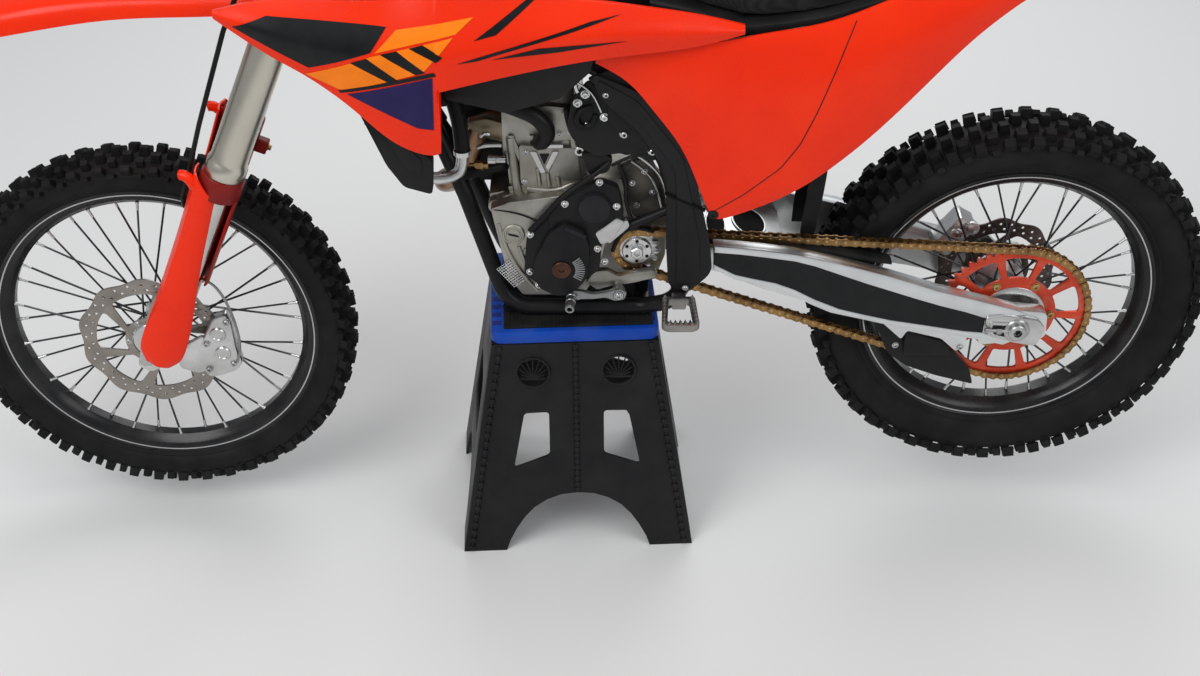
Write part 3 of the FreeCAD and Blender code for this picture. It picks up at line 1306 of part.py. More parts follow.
def hub(wheel, centre, carrier_sides):
    """Hub barrel, flanges, disc and sprocket carriers, and 36 laced spokes."""
    radius = getattr(size, f"{wheel}_hub_radius")
    width = getattr(size, f"{wheel}_hub_width")
    flange = getattr(size, f"{wheel}_flange_radius")
    spread = getattr(size, f"{wheel}_flange_spread") / 2
    rim_inner = getattr(size, f"{wheel}_rim_radius") - size.rim_depth
    axle = getattr(size, f"{wheel}_axle_radius")
    parts = [disc(centre, radius, width)]
    for side in SIDES:
        parts.append(disc(centre + Vector(0, side * spread, 0), flange, size.flange_thickness))
    for side_offset, carrier_radius, thickness in carrier_sides:
        parts.append(disc(centre + Vector(0, side_offset, 0), carrier_radius, thickness))
    spokes = []
    for index in range(36):
        side = SIDES[index % 2]
        lead = math.radians(size.spoke_lead) * (1 if (index // 2) % 2 else -1)
        angle = 2 * math.pi * index / 36
        root = Vector(math.sin(angle + lead) * (flange - 5), side * spread, math.cos(angle + lead) * (flange - 5))
        reach = rim_inner - 0.6
        tip = Vector(math.sin(angle) * reach, side * 7, math.cos(angle) * reach)
        spokes.append(bar(centre + root, centre + tip, size.spoke_radius))
    bore = disc(centre, axle + size.axle_clearance, width + 40)
    return fused(parts + spokes).cut(bore)


def brake_disc(centre, radius, seat_radius):
    """A wavy ring on six arms."""
    ring = disc(centre, radius, size.disc_thickness).cut(disc(centre, radius - size.disc_band, 10))
    lobes = 12
    bites = [disc(centre + Vector(math.sin(math.tau * i / lobes), 0, math.cos(math.tau * i / lobes)) * (radius + 17),
                  20, 10) for i in range(lobes)]
    hub_ring = disc(centre, seat_radius + 12, size.disc_thickness).cut(disc(centre, seat_radius, 10))
    arms = []
    for index in range(6):
        start = math.tau * index / 6
        end = start + 0.35
        inner = centre + Vector(math.sin(start), 0, math.cos(start)) * (seat_radius + 6)
        outer = centre + Vector(math.sin(end), 0, math.cos(end)) * (radius - size.disc_band + 5)
        way = (outer - inner).normalize()
        across = Vector(way.z, 0, -way.x) * 6
        outline = [inner - across, outer - across, outer + across, inner + across]
        arms.append(plate(outline, centre.y - size.disc_thickness / 2, centre.y + size.disc_thickness / 2))
    return fused([ring.cut(fused(bites)), hub_ring] + arms)


FRONT_CARRIER = 36
REAR_CARRIER = 47
nodes.append(add_node("front_tyre", [knobby_tyre("front", FRONT_AXLE)]))
nodes.append(add_node("rear_tyre", [knobby_tyre("rear", REAR_AXLE)]))
nodes.append(turned_body("front_rim", FRONT_AXLE, rim_corners("front")))
nodes.append(turned_body("rear_rim", REAR_AXLE, rim_corners("rear")))
nodes.append(add_node("front_hub", [hub("front", FRONT_AXLE, ((-54, FRONT_CARRIER - 0.2, 18),))]))
nodes.append(add_node("rear_hub", [hub("rear", REAR_AXLE, ((-62, REAR_CARRIER - 0.2, 18), (60, REAR_CARRIER - 0.2, 16)))]))
nodes.append(add_node("front_disc", [brake_disc(FRONT_AXLE + Vector(0, -size.front_disc_side, 0),
                                                size.front_disc_radius, FRONT_CARRIER)]))
nodes.append(add_node("rear_disc", [brake_disc(REAR_AXLE + Vector(0, size.rear_disc_side, 0),
                                               size.rear_disc_radius, REAR_CARRIER)]))
nodes.append(add_node("rear_sprocket", [sprocket(REAR_AXLE + Vector(0, -size.chain_side, 0),
                                                 sprocket_radius(size.rear_teeth), REAR_CARRIER, 6)]))


# Check every object, then write one file for each node

doc.recompute()
for item in doc.Objects:
    if "Invalid" in item.State or "Error" in item.State:
        raise RuntimeError(f"{item.Label} failed: {item.State}")
os.makedirs("parts", exist_ok=True)
for node in nodes:
    if node.Shape.isNull() or not node.Shape.isValid():
        raise RuntimeError(f"{node.Label} has no valid shape")
for node in nodes:
    node.Shape.exportStep(f"parts/{node.Label}.step")
print(f"{len(nodes)} nodes written")
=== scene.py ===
"""The looks of a dirt bike on a folding paddock stand.

Places are in millimetres, X to the rear, Y to the right and Z up, and become metres in at().
The left side, at negative Y, faces the camera.
"""

import math
from contextlib import contextmanager

import bpy
from mathutils import Matrix, Vector


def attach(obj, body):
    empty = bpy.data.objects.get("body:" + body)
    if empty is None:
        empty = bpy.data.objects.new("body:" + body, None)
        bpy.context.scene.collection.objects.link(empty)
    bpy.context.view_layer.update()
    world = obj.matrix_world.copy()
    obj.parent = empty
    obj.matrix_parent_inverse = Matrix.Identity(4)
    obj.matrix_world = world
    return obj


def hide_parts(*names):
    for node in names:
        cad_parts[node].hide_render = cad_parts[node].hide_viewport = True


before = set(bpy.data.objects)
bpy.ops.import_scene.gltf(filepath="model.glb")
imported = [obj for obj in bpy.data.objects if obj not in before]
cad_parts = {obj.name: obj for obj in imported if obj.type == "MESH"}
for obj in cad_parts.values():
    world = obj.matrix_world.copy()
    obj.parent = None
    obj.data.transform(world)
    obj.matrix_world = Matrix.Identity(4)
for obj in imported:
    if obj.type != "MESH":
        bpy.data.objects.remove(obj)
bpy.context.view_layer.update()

MM = 0.001
SIDES = LEFT, RIGHT = (-1, 1)
PIVOT = (180, 585)
FRONT_AXLE = (-744.8, 391.4)
REAR_AXLE = (744.9, 449)
HEAD = (-383.4, 1110)
RAKE = math.radians(23.35)
FORK_SIDE = 103
FORK_OFFSET = 27
X_WAY, Y_WAY, Z_WAY = Vector((1, 0, 0)), Vector((0, 1, 0)), Vector((0, 0, 1))
FORK_UP = Vector((math.sin(RAKE), 0, math.cos(RAKE)))
FORK_AHEAD = Vector((-math.cos(RAKE), 0, math.sin(RAKE)))
HEAD_TO_AXLE = 803
WELD = 1e-6


def at(x, y, z):
    return Vector((x, y, z)) * MM


def line(places):
    return [at(*place) for place in places]


def moved(place):
    return Matrix.Translation(place)


def turned_about(axis, angle):
    return Matrix.Rotation(angle, 4, axis)


def at_frame(back, up, side=0):
    """A place measured from the swingarm pivot."""
    return at(PIVOT[0] + back, side, PIVOT[1] + up)


def at_fork(along, ahead, side=0):
    """A place measured along the steering axis from the front axle's height, and ahead of the axis."""
    return at(HEAD[0], side, HEAD[1]) + (FORK_UP * (along - HEAD_TO_AXLE) + FORK_AHEAD * ahead) * MM


def outline_xz(points):
    """Corners behind and above the pivot as X and Z."""
    return [(PIVOT[0] + back, PIVOT[1] + up) for back, up in points]


# Operators

def clear_choice():
    """Object mode with nothing selected."""
    if bpy.context.object and bpy.context.object.mode != "OBJECT":
        bpy.ops.object.mode_set(mode="OBJECT")
    bpy.ops.object.select_all(action="DESELECT")


def choose(*pieces):
    clear_choice()
    for piece in pieces:
        piece.select_set(True)
    bpy.context.view_layer.objects.active = pieces[0]


def added(operator, **settings):
    """The object that an operator adds."""
    clear_choice()
    operator(**settings)
    return bpy.context.object


def duplicate(piece):
    copy = piece.copy()
    copy.data = piece.data.copy()
    bpy.context.collection.objects.link(copy)
    return copy


def settle(piece, place=None):
    """Put the piece's place into its mesh."""
    if place is not None:
        piece.matrix_world = place
    choose(piece)
    bpy.ops.object.transform_apply(location=True, rotation=True, scale=True)
    return piece


def joined(pieces):
    choose(*pieces)
    if len(pieces) > 1:
        bpy.ops.object.join()
    return bpy.context.object


@contextmanager
def editing(piece, mode="VERT", is_all=True):
    """Edit mode with everything selected, or what was selected before."""
    choose(piece)
    bpy.ops.object.mode_set(mode="EDIT")
    bpy.ops.mesh.select_mode(type=mode)
    if is_all:
        bpy.ops.mesh.select_all(action="SELECT")
    yield
    bpy.ops.object.mode_set(mode="OBJECT")


def choose_faces(piece, is_wanted):
    """Leave only the wanted faces selected."""
    with editing(piece, "FACE"):
        bpy.ops.mesh.select_all(action="DESELECT")
    for face in piece.data.polygons:
        face.select = is_wanted(face)


def modify(piece, kind, **settings):
    """Add one modifier, set it and apply it."""
    choose(piece)
    modifier = piece.modifiers.new(kind.title(), kind)
    for name, value in settings.items():
        setattr(modifier, name, value)
    bpy.ops.object.modifier_apply(modifier=modifier.name)
    return piece


def smooth(piece, angle=35):
    choose(piece)
    bpy.ops.object.shade_smooth_by_angle(angle=math.radians(angle))
    return piece


def bevelled(piece, width, angle=30, segments=2):
    return modify(piece, "BEVEL", width=width * MM, segments=segments, limit_method="ANGLE",
                  angle_limit=math.radians(angle))


def subdivided(piece, level, **settings):
    return modify(piece, "SUBSURF", levels=level, render_levels=level, **settings)


def outward(piece):
    with editing(piece):
        bpy.ops.mesh.remove_doubles(threshold=WELD)
        bpy.ops.mesh.normals_make_consistent(inside=False)
    return piece


def flipped(piece):
    with editing(piece):
        bpy.ops.mesh.flip_normals()
    return piece


def cut(piece, place, normal):
    """Cut away what lies behind a plane, and close the cut."""
    with editing(piece):
        bpy.ops.mesh.bisect(plane_co=place, plane_no=normal, clear_inner=True, use_fill=True)
    return piece


def turn_to(way):
    """Rotation that brings +Y to a direction."""
    return Y_WAY.rotation_difference(Vector(way).normalized()).to_matrix().to_4x4()


def turned(profile, centre=(0, 0, 0), way=Y_WAY, steps=48):
    """A lathe-turned body. Columns: radius, place along the axis. It closes where it keeps off the axis."""
    piece = added(bpy.ops.mesh.primitive_plane_add, size=MM)
    is_closed = profile[0][0] > 0 and profile[-1][0] > 0
    corners = list(profile) + ([profile[0]] if is_closed else [])
    with editing(piece):
        bpy.ops.mesh.merge(type="CENTER")
        bpy.ops.transform.translate(value=(profile[0][0] * MM, profile[0][1] * MM, 0))
        for (radius, along), (next_radius, next_along) in zip(corners, corners[1:]):
            step = ((next_radius - radius) * MM, (next_along - along) * MM, 0)
            bpy.ops.mesh.extrude_vertices_move(TRANSFORM_OT_translate={"value": step})
        bpy.ops.mesh.select_all(action="SELECT")
        bpy.ops.mesh.spin(steps=steps, angle=math.tau, center=(0, 0, 0), axis=Y_WAY)
    outward(piece)
    return smooth(settle(piece, moved(centre) @ turn_to(way)))


def curve(operator, kind, outlines, **settings):
    """A curve with a spline for each outline."""
    piece = added(operator)
    piece.data.splines.clear()
    for outline in outlines:
        spline = piece.data.splines.new(kind)
        spline.points.add(len(outline) - 1)
        for point, place in zip(spline.points, outline):
            point.co = (*place, 1)
    for name, value in settings.items():
        setattr(piece.data, name, value)
    return piece


def pipe(places, radius, order=3, resolution=8, sides=3):
    """A round bar or hose along a smooth line through the places."""
    piece = curve(bpy.ops.curve.primitive_nurbs_path_add, "NURBS", [places], dimensions="3D",
                  bevel_depth=radius * MM, bevel_resolution=sides, use_fill_caps=True)
    spline = piece.data.splines[0]
    spline.order_u = min(order, len(places))
    spline.use_endpoint_u = True
    spline.resolution_u = resolution
    bpy.ops.object.convert(target="MESH")
    return smooth(bpy.context.object, 40)


def flat(outlines, low, high, bevel=0, is_level=False):
    """A flat plate from an outline and its holes. Side plates lie in X and Z, level ones in X and Y."""
    loops = [[(across * MM, up * MM, 0) for across, up in outline] for outline in outlines]
    piece = curve(bpy.ops.curve.primitive_bezier_circle_add, "POLY", loops, dimensions="2D",
                  fill_mode="BOTH", extrude=((high - low) / 2 - bevel) * MM, bevel_depth=bevel * MM,
                  offset=-bevel * MM, bevel_resolution=1)
    for spline in piece.data.splines:
        spline.use_cyclic_u = True
    middle = (low + high) / 2 * MM
    piece.matrix_world = (moved((0, 0, middle)) if is_level
                          else moved((0, middle, 0)) @ turned_about("X", math.pi / 2))
    choose(piece)
    bpy.ops.object.convert(target="MESH")
    return smooth(outward(settle(bpy.context.object)), 30)


def plate(low, high, bevel, corner, outline):
    """A side plate from one outline with rounded corners."""
    return flat([rounded(outline, corner) if corner else outline], low, high, bevel)


def strip(upper, lower, low, high, bevel=0):
    """A side plate between two lines."""
    return flat([list(upper) + list(reversed(lower))], low, high, bevel)


def box(low, high, bevel=0, place=None):
    """A block between two corners."""
    piece = added(bpy.ops.mesh.primitive_cube_add, size=1)
    low, high = at(*low), at(*high)
    piece.location = (low + high) / 2
    piece.scale = high - low
    settle(piece)
    if bevel:
        bevelled(piece, bevel)
    return piece if place is None else settle(piece, place)


def ellipse(centre, across, deep, count=32):
    """A closed round outline."""
    angles = [math.tau * index / count for index in range(count)]
    return [(centre[0] + math.cos(angle) * across, centre[1] + math.sin(angle) * deep) for angle in angles]


def ring(centre, radius, count=32):
    return ellipse(centre, radius, radius, count)


def rounded(points, radius, steps=4):
    """An outline with its corners rounded."""
    outline = []
    for index, point in enumerate(points):
        corner = Vector(point)
        before = Vector(points[index - 1]) - corner
        after = Vector(points[(index + 1) % len(points)]) - corner
        reach = min(radius, 0.45 * before.length, 0.45 * after.length)
        start, end = corner + before.normalized() * reach, corner + after.normalized() * reach
        for step in range(steps + 1):
            share = step / steps
            spot = start * (1 - share) ** 2 + corner * 2 * share * (1 - share) + end * share ** 2
            outline.append(tuple(spot))
    return outline


def copies(master, places):
    """Copies of a small piece at each transform, joined. The master is used up."""
    made = []
    for place in places:
        made.append(duplicate(master))
        made[-1].matrix_world = place
    bpy.data.objects.remove(master)
    return settle(joined(made))


def round_axle(master, axle, count, start=0):
    """The piece repeated round an axle by an array."""
    centre = at(axle[0], 0, axle[1])
    master.matrix_world = Matrix.Identity(4)
    with editing(master):
        bpy.ops.transform.translate(value=-centre)
    master.location = centre
    master.rotation_euler = (0, start, 0)
    step = added(bpy.ops.object.empty_add, location=centre, rotation=(0, start + math.tau / count, 0))
    bpy.context.view_layer.update()
    modify(master, "ARRAY", count=count, use_relative_offset=False, use_object_offset=True,
           offset_object=step)
    bpy.data.objects.remove(step)
    return settle(master)


def both(piece):
    """The piece and its mirror image on the other side of the bike."""
    return joined([piece, flipped(settle(duplicate(piece), Matrix.Scale(-1, 4, Y_WAY)))])


def sheet_grid(rows, creases=(), row_creases=(), level=2):
    """A smooth sheet through rows of places. Creases name the columns, and rows, that stay sharp."""
    across = len(rows[0])
    piece = added(bpy.ops.mesh.primitive_grid_add, x_subdivisions=across - 1, y_subdivisions=len(rows) - 1,
                  size=1)
    for index, vertex in enumerate(piece.data.vertices):
        vertex.co = rows[index // across][index % across]
    sharp = piece.data.attributes.new("crease_edge", "FLOAT", "EDGE")
    for edge in piece.data.edges:
        first, second = sorted(edge.vertices)
        in_row = second - first == 1 and first // across in row_creases
        in_column = second - first == across and first % across in creases
        if in_row or in_column:
            sharp.data[edge.index].value = 1
    return subdivided(piece, level, boundary_smooth="PRESERVE_CORNERS")


def faced(piece, way):
    """Turn the sheet's faces so that their sum looks along a direction."""
    total = sum((face.normal * face.area for face in piece.data.polygons), Vector((0, 0, 0)))
    return flipped(piece) if total.dot(way) < 0 else piece


def shell(piece, thickness=3, edge=0.8):
    """Give a sheet its wall, behind its outer face, with softened edges."""
    modify(piece, "SOLIDIFY", thickness=thickness * MM, offset=-1, use_even_offset=True)
    return smooth(bevelled(piece, edge, angle=50), 40)


def refined(node, width=1.5):
    """A copy of a node with merged points, flat faces joined and softened edges."""
    piece = duplicate(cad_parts[node])
    bare(piece)
    piece.hide_render = False
    with editing(piece):
        bpy.ops.mesh.remove_doubles(threshold=2 * WELD)
        bpy.ops.mesh.dissolve_limited(angle_limit=math.radians(2))
    if width:
        bevelled(piece, width, angle=25)
    return smooth(piece, 32)


def bare(piece):
    for key in list(piece.keys()):
        del piece[key]
    piece.parent = None


def kept(node, width, look, body="chassis", name=None):
    """A node that keeps its shape, with softened edges."""
    return finished(name or f"{node}_finished", refined(node, width), look, node=node, body=body)


def finished(name, piece, look, node=None, body="chassis", pair=False):
    """Join parts, mirror them where asked, dress the piece, and let it ride and stand for its node."""
    if isinstance(piece, list):
        piece = joined(piece)
    if pair:
        piece = both(piece)
    piece.name = piece.data.name = name
    piece.data.materials.clear()
    piece.data.materials.append(LOOKS[look])
    if node:
        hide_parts(node)
    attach(piece, body)
    return piece


# Nodes of the materials

def node(tree, kind, inputs, output=0, **settings):
    """A node whose inputs are values or other nodes' sockets; gives one of its outputs."""
    made = tree.nodes.new(f"ShaderNode{kind}")
    for name, value in settings.items():
        setattr(made, name, value)
    for label, value in inputs.items():
        if isinstance(value, bpy.types.NodeSocket):
            tree.links.new(value, made.inputs[label])
        else:
            made.inputs[label].default_value = value
    return made.outputs[output]


def value_range(tree, source, low, high, to_low=0, to_high=1):
    """A value mapped from one range to another, held within it."""
    return node(tree, "MapRange", {"Value": source, "From Min": low, "From Max": high, "To Min": to_low,
                                   "To Max": to_high})


def maths(tree, operation, first, second):
    return node(tree, "Math", {0: first, 1: second}, operation=operation)


def times(tree, first, second):
    return maths(tree, "MULTIPLY", first, second)


def noise(tree, vector, scale, detail=3, stretch=None):
    """Noise on a vector, stretched along the axes where asked."""
    if stretch:
        vector = node(tree, "Mapping", {"Scale": stretch, "Vector": vector})
    return node(tree, "TexNoise", {"Vector": vector, "Detail": detail, "Scale": scale}, "Fac")


def new_group(name, kind, label, **values):
    """A node group with a vector, some numbers and one output; gives its inputs and what links its output."""
    group = bpy.data.node_groups.new(name, "ShaderNodeTree")
    group.interface.new_socket("Vector", in_out="INPUT", socket_type="NodeSocketVector")
    for value_name, value in values.items():
        socket = group.interface.new_socket(value_name, in_out="INPUT", socket_type="NodeSocketFloat")
        socket.default_value = value
    group.interface.new_socket(label, in_out="OUTPUT", socket_type=f"NodeSocket{kind}")
    given, out = group.nodes.new("NodeGroupInput"), group.nodes.new("NodeGroupOutput")
    return group, given.outputs, lambda source: group.links.new(source, out.inputs[0])


def grain_group():
    """Fine surface texture as a normal: pores and moulding marks, or cast sand."""
    group, given, give = new_group("surface_grain", "Vector", "Normal", Scale=800, Depth=0.1)
    fine = noise(group, given["Vector"], given["Scale"], 4)
    coarse = noise(group, given["Vector"], times(group, given["Scale"], 0.12), 2)
    give(node(group, "Bump", {"Distance": 0.0004, "Strength": given["Depth"],
                              "Height": maths(group, "ADD", fine, coarse)}))
    return group


def wear_group():
    """Rubbed edges: a mask from how sharply the surface turns, broken up by noise."""
    group, given, give = new_group("edge_wear", "Float", "Mask", Amount=0.5)
    edges = value_range(group, node(group, "NewGeometry", {}, "Pointiness"), 0.52, 0.60)
    broken = value_range(group, noise(group, given["Vector"], 60, 5), 0.42, 0.62)
    give(times(group, times(group, edges, broken), given["Amount"]))
    return group


def dust_group():
    """Dust that lies on upward faces and in patches."""
    group, given, give = new_group("dust", "Float", "Mask", Amount=0.3)
    normal = node(group, "NewGeometry", {}, "Normal")
    lying = value_range(group, node(group, "SeparateXYZ", {0: normal}, "Z"), -0.2, 1, 0.25)
    patches = value_range(group, noise(group, given["Vector"], 22, 6), 0.38, 0.7)
    give(times(group, times(group, lying, patches), given["Amount"]))
    return group


def streak_group():
    """Fine parallel lines of a brushed or drawn surface."""
    group, given, give = new_group("brushed_streaks", "Float", "Value", Low=0.2, High=0.4)
    lines = noise(group, given["Vector"], 60, 4, stretch=(0.6, 18, 18))
    give(value_range(group, lines, 0.3, 0.7, given["Low"], given["High"]))
    return group


def scratch_group():
    """A mask of thin scratches in two directions."""
    group, given, give = new_group("scratches", "Float", "Mask", Amount=0.5)
    first = noise(group, given["Vector"], 40, stretch=(0.5, 6, 9))
    second = noise(group, given["Vector"], 34, stretch=(5, 7, 0.6))
    thin = maths(group, "MAXIMUM", value_range(group, first, 0.66, 0.70),
                 value_range(group, second, 0.67, 0.71))
    give(times(group, thin, given["Amount"]))
    return group


GRAIN, WEAR, DUST = grain_group(), wear_group(), dust_group()
STREAKS, SCRATCHES = streak_group(), scratch_group()
DUST_COLOUR = (0.20, 0.18, 0.15)
CLOTH_DUST = 0.03

# What the kinds of material share. drift: scale, low and high of the noise that mixes the two colours; gloss:
# scale of the patches in the roughness; grain: its scale and depth
KINDS = {
    "plastic": {"drift": (7, 0.35, 0.65), "gloss": 14, "grain": (900, 0.06), "dust": 0.12, "scratch": 0.3,
                "specular": 0.2},
    "metal": {"drift": (18, 0.35, 0.68), "gloss": 30, "grain": (700, 0.08), "dust": 0.1, "metallic": 1,
              "specular": 0.5},
    "paint": {"drift": (18, 0.35, 0.68), "gloss": 30, "grain": (700, 0.08), "dust": 0.04, "specular": 0.16},
    "rubber": {"drift": (11, 0.35, 0.65), "gloss": 26, "grain": (600, 0.25), "dust": 0.05,
               "specular": 0.14},
    "film": {"drift": (30, 0.3, 0.7), "gloss": 18, "grain": (1200, 0.04), "specular": 0.2},
}

# Looks. Columns: name, kind, colour and a second colour in thousandths, roughness in hundredths, what differs
FINISHES = (
    ("orange_plastic", "plastic", (870, 28, 1), (800, 21, 1), (20, 32),
     dict(dust=0.01, scratch=0.1, specular=0.22)),
    ("black_plastic", "plastic", (6, 6, 6.5), (9, 9, 10), (38, 52), dict(grain=(900, 0.25), dust=0.04)),
    ("tank_black", "plastic", (7, 7, 8), (11, 11, 12), (42, 56), dict(grain=(900, 0.3), dust=0.06)),
    ("frame_black", "paint", (6, 6, 7), (10, 10, 11), (28, 42), {}),
    ("cover_black", "paint", (6, 6, 7), (10, 10, 11), (36, 48), dict(grain=(700, 0.2))),
    ("cover_satin", "paint", (10, 10, 13), (16, 16, 20), (28, 40), dict(grain=(700, 0.12))),
    ("bar_black", "metal", (12, 12, 12), (20, 20, 20), (30, 42), dict(metallic=0.4)),
    ("clamp_orange", "metal", (620, 50, 14), (500, 36, 10), (28, 40), dict(metallic=0.5)),
    ("sprocket_orange", "metal", (620, 52, 14), (460, 34, 10), (30, 44),
     dict(metallic=0.5, worn=(0.5, 0.36, 0.3))),
    ("seal_red", "plastic", (220, 6, 5), (160, 5, 4), (30, 45), {}),
    # Darker red than the orange shell: painted shade on the fork guard's inner wall
    ("guard_inside_painted_shade", "plastic", (340, 8, 4), (260, 6, 3), (30, 45), {}),
    ("rim_black", "metal", (10, 10, 11), (18, 18, 19), (20, 32), dict(metallic=0.5)),
    ("engine_alloy", "metal", (400, 385, 345), (270, 255, 225), (36, 52), dict(grain=(520, 0.5), dust=0.2)),
    ("case_dark", "metal", (110, 100, 85), (60, 55, 50), (35, 50), dict(grain=(700, 0.3))),
    ("head_brown", "metal", (260, 220, 150), (150, 120, 80), (40, 55), dict(grain=(520, 0.5))),
    ("peg_steel", "metal", (330, 320, 300), (200, 190, 180), (34, 50), dict(grain=(700, 0.4))),
    ("lever_alloy", "metal", (340, 350, 350), (240, 250, 250), (26, 40), dict(grain=(700, 0.15))),
    ("braided_line", "metal", (360, 360, 360), (200, 200, 200), (30, 45), dict(grain=(900, 0.6))),
    ("bright_alloy", "metal", (660, 660, 660), (480, 480, 470), (20, 36), dict(grain=(700, 0.12))),
    ("swingarm_alloy", "metal", (740, 760, 760), (640, 660, 660), (30, 42),
     dict(is_brushed=True, dust=0.04)),
    ("subframe_alloy", "metal", (500, 500, 500), (380, 380, 380), (30, 45), {}),
    ("silencer_alloy", "metal", (620, 620, 620), (500, 500, 500), (22, 34), dict(is_brushed=True)),
    ("radiator_alloy", "metal", (420, 420, 420), (300, 300, 300), (35, 50), {}),
    ("fork_nickel", "metal", (580, 550, 470), (550, 520, 450), (27, 30),
     dict(grain=(700, 0.008), dust=0.01)),
    ("stanchion_chrome", "metal", (620, 610, 580), (500, 490, 470), (10, 18), dict(grain=(700, 0.02))),
    ("disc_steel", "metal", (340, 310, 280), (220, 200, 180), (25, 40), dict(is_brushed=True)),
    ("rear_disc_steel", "metal", (130, 110, 100), (70, 60, 55), (30, 45), {}),
    ("axle_steel", "metal", (500, 500, 500), (360, 360, 360), (22, 36), {}),
    ("spoke_black", "metal", (50, 50, 55), (90, 90, 90), (20, 32), dict(metallic=0.9)),
    ("exhaust_steel", "metal", (380, 250, 150), (240, 140, 85), (26, 42), {}),
    ("chain_bronze", "metal", (360, 215, 85), (200, 115, 45), (34, 50), dict(dust=0.15)),
    ("chain_rollers", "metal", (160, 100, 50), (80, 50, 30), (35, 50), {}),
    ("bronze_fitting", "metal", (460, 290, 120), (320, 190, 80), (28, 40), {}),
    ("plug_bronze", "metal", (100, 50, 35), (60, 30, 22), (34, 48), {}),
    ("shock_spring", "metal", (620, 620, 600), (500, 500, 480), (25, 35), dict(metallic=0.1)),
    ("tyre_rubber", "rubber", (6, 6, 6.5), (10, 10, 10.5), (50, 70), dict(dust=0.03)),
    ("black_rubber", "rubber", (9, 9, 9), (14, 14, 14), (40, 60), {}),
    ("hose_black", "rubber", (6, 6, 6), (10, 10, 10), (30, 42), dict(dust=0.03, grain=(600, 0.05))),
    ("stand_blue", "plastic", (3, 60, 400), (2, 45, 330), (32, 50), dict(grain=(900, 0.15))),
    ("stand_black", "plastic", (6, 6, 7), (9, 9, 10), (42, 56), dict(grain=(900, 0.3), dust=0.06)),
    # Near-black with no dust: painted shade, laid in recesses and seams
    ("painted_shade_black", "rubber", (2, 2, 2), (3, 3, 3), (70, 80), dict(dust=0)),
    # A darker copy of the stand's blue: painted shade in notches
    ("notch_shade_blue", "plastic", (2, 20, 200), (2, 15, 160), (40, 50), {}),
    ("film_black", "film", (5, 5.5, 6), (9.75, 10.325, 10.9), (24, 40), {}),
    ("film_amber", "film", (860, 190, 2), (993, 222.5, 6.3), (26, 42), {}),
    ("film_indigo", "film", (12, 6, 65), (17.8, 10.9, 78.75), (26, 42), {}),
    ("film_silver", "metal", (550, 550, 560), (450, 450, 460), (30, 40), {}),
)

# Woven covers. Columns: name, colour and the colour of raised threads in thousandths, scale of the weave
CLOTHS = (("seat_cover", (10, 10, 11), (30, 30, 31), 260), ("pad_black", (12, 12, 12), (35, 35, 35), 180))


def colour(parts):
    return tuple(part / 1000 for part in parts)


class Finish:
    """One material: a principled shader, its place on the piece, and helpers that add groups to it."""

    def __init__(self, name, **inputs):
        self.material = bpy.data.materials.new(name)
        self.material.use_nodes = True
        self.tree = self.material.node_tree
        self.shader = self.tree.nodes["Principled BSDF"]
        self.give(**inputs)
        self.place = node(self.tree, "TexCoord", {}, "Object")

    def give(self, **inputs):
        """Set or link the shader's inputs, with _ for a space in their names."""
        for name, value in inputs.items():
            socket = self.shader.inputs[name.replace("_", " ")]
            if isinstance(value, bpy.types.NodeSocket):
                self.tree.links.new(value, socket)
            else:
                socket.default_value = value

    def group(self, group, **values):
        return node(self.tree, "Group", {"Vector": self.place, **values}, node_tree=group)

    def mix(self, mask, first, second):
        """Colours blended by a mask. Each is a tuple or a socket."""
        first, second = ((*value, 1) if isinstance(value, tuple) else value for value in (first, second))
        return node(self.tree, "Mix", {"Factor": mask, 6: first, 7: second}, 2, data_type="RGBA")

    def noise(self, scale, low, high, to_low=0, to_high=1):
        return value_range(self.tree, noise(self.tree, self.place, scale, 4), low, high, to_low, to_high)


def weathered(name, kind, first, second, gloss, changes):
    """Colour drift, worn edges, dust, patchy or brushed gloss with scratches, and grain."""
    values = {**KINDS[kind], **changes}
    finish = Finish(name, Metallic=values.get("metallic", 0), Specular_IOR_Level=values["specular"])
    shade = finish.mix(finish.noise(*values["drift"]), colour(first), colour(second))
    if "worn" in values:
        shade = finish.mix(finish.group(WEAR, Amount=0.8), shade, values["worn"])
    if values.get("dust"):
        shade = finish.mix(finish.group(DUST, Amount=values["dust"]), shade, DUST_COLOUR)
    low, high = (part / 100 for part in gloss)
    if "is_brushed" in values:
        rough = finish.group(STREAKS, Low=low, High=high)
    else:
        rough = finish.noise(values["gloss"], 0.3, 0.7, low, high)
    if "scratch" in values:
        marks = finish.group(SCRATCHES, Amount=values["scratch"])
        rough = maths(finish.tree, "ADD", rough, times(finish.tree, marks, 0.25))
    scale, depth = values["grain"]
    finish.give(Base_Color=shade, Roughness=rough, Normal=finish.group(GRAIN, Scale=scale, Depth=depth))
    return finish.material


def woven(name, base, threads, scale):
    """A gripper cover: two crossed waves for the threads."""
    finish = Finish(name, Roughness=0.8, Sheen_Weight=0.06, Specular_IOR_Level=0.12)
    weave = times(finish.tree, *(node(finish.tree, "TexWave", {"Scale": scale, "Vector": finish.place},
                                      "Fac", bands_direction=way) for way in "XY"))
    shade = finish.mix(weave, colour(base), colour(threads))
    shade = finish.mix(finish.group(DUST, Amount=CLOTH_DUST), shade, DUST_COLOUR)
    bump = node(finish.tree, "Bump", {"Strength": 0.35, "Distance": 0.0004, "Height": weave})
    finish.give(Base_Color=shade, Normal=bump)
    return finish.material


LOOKS = {row[0]: weathered(*row) for row in FINISHES} | {row[0]: woven(*row) for row in CLOTHS}


# Wheels

KNOB_ROOT = 2.5
KNOB_TAPER = 0.82
TREAD_DROP = 12
SPOKE_COUNT = 36
SPOKE_LEAD = math.radians(48)

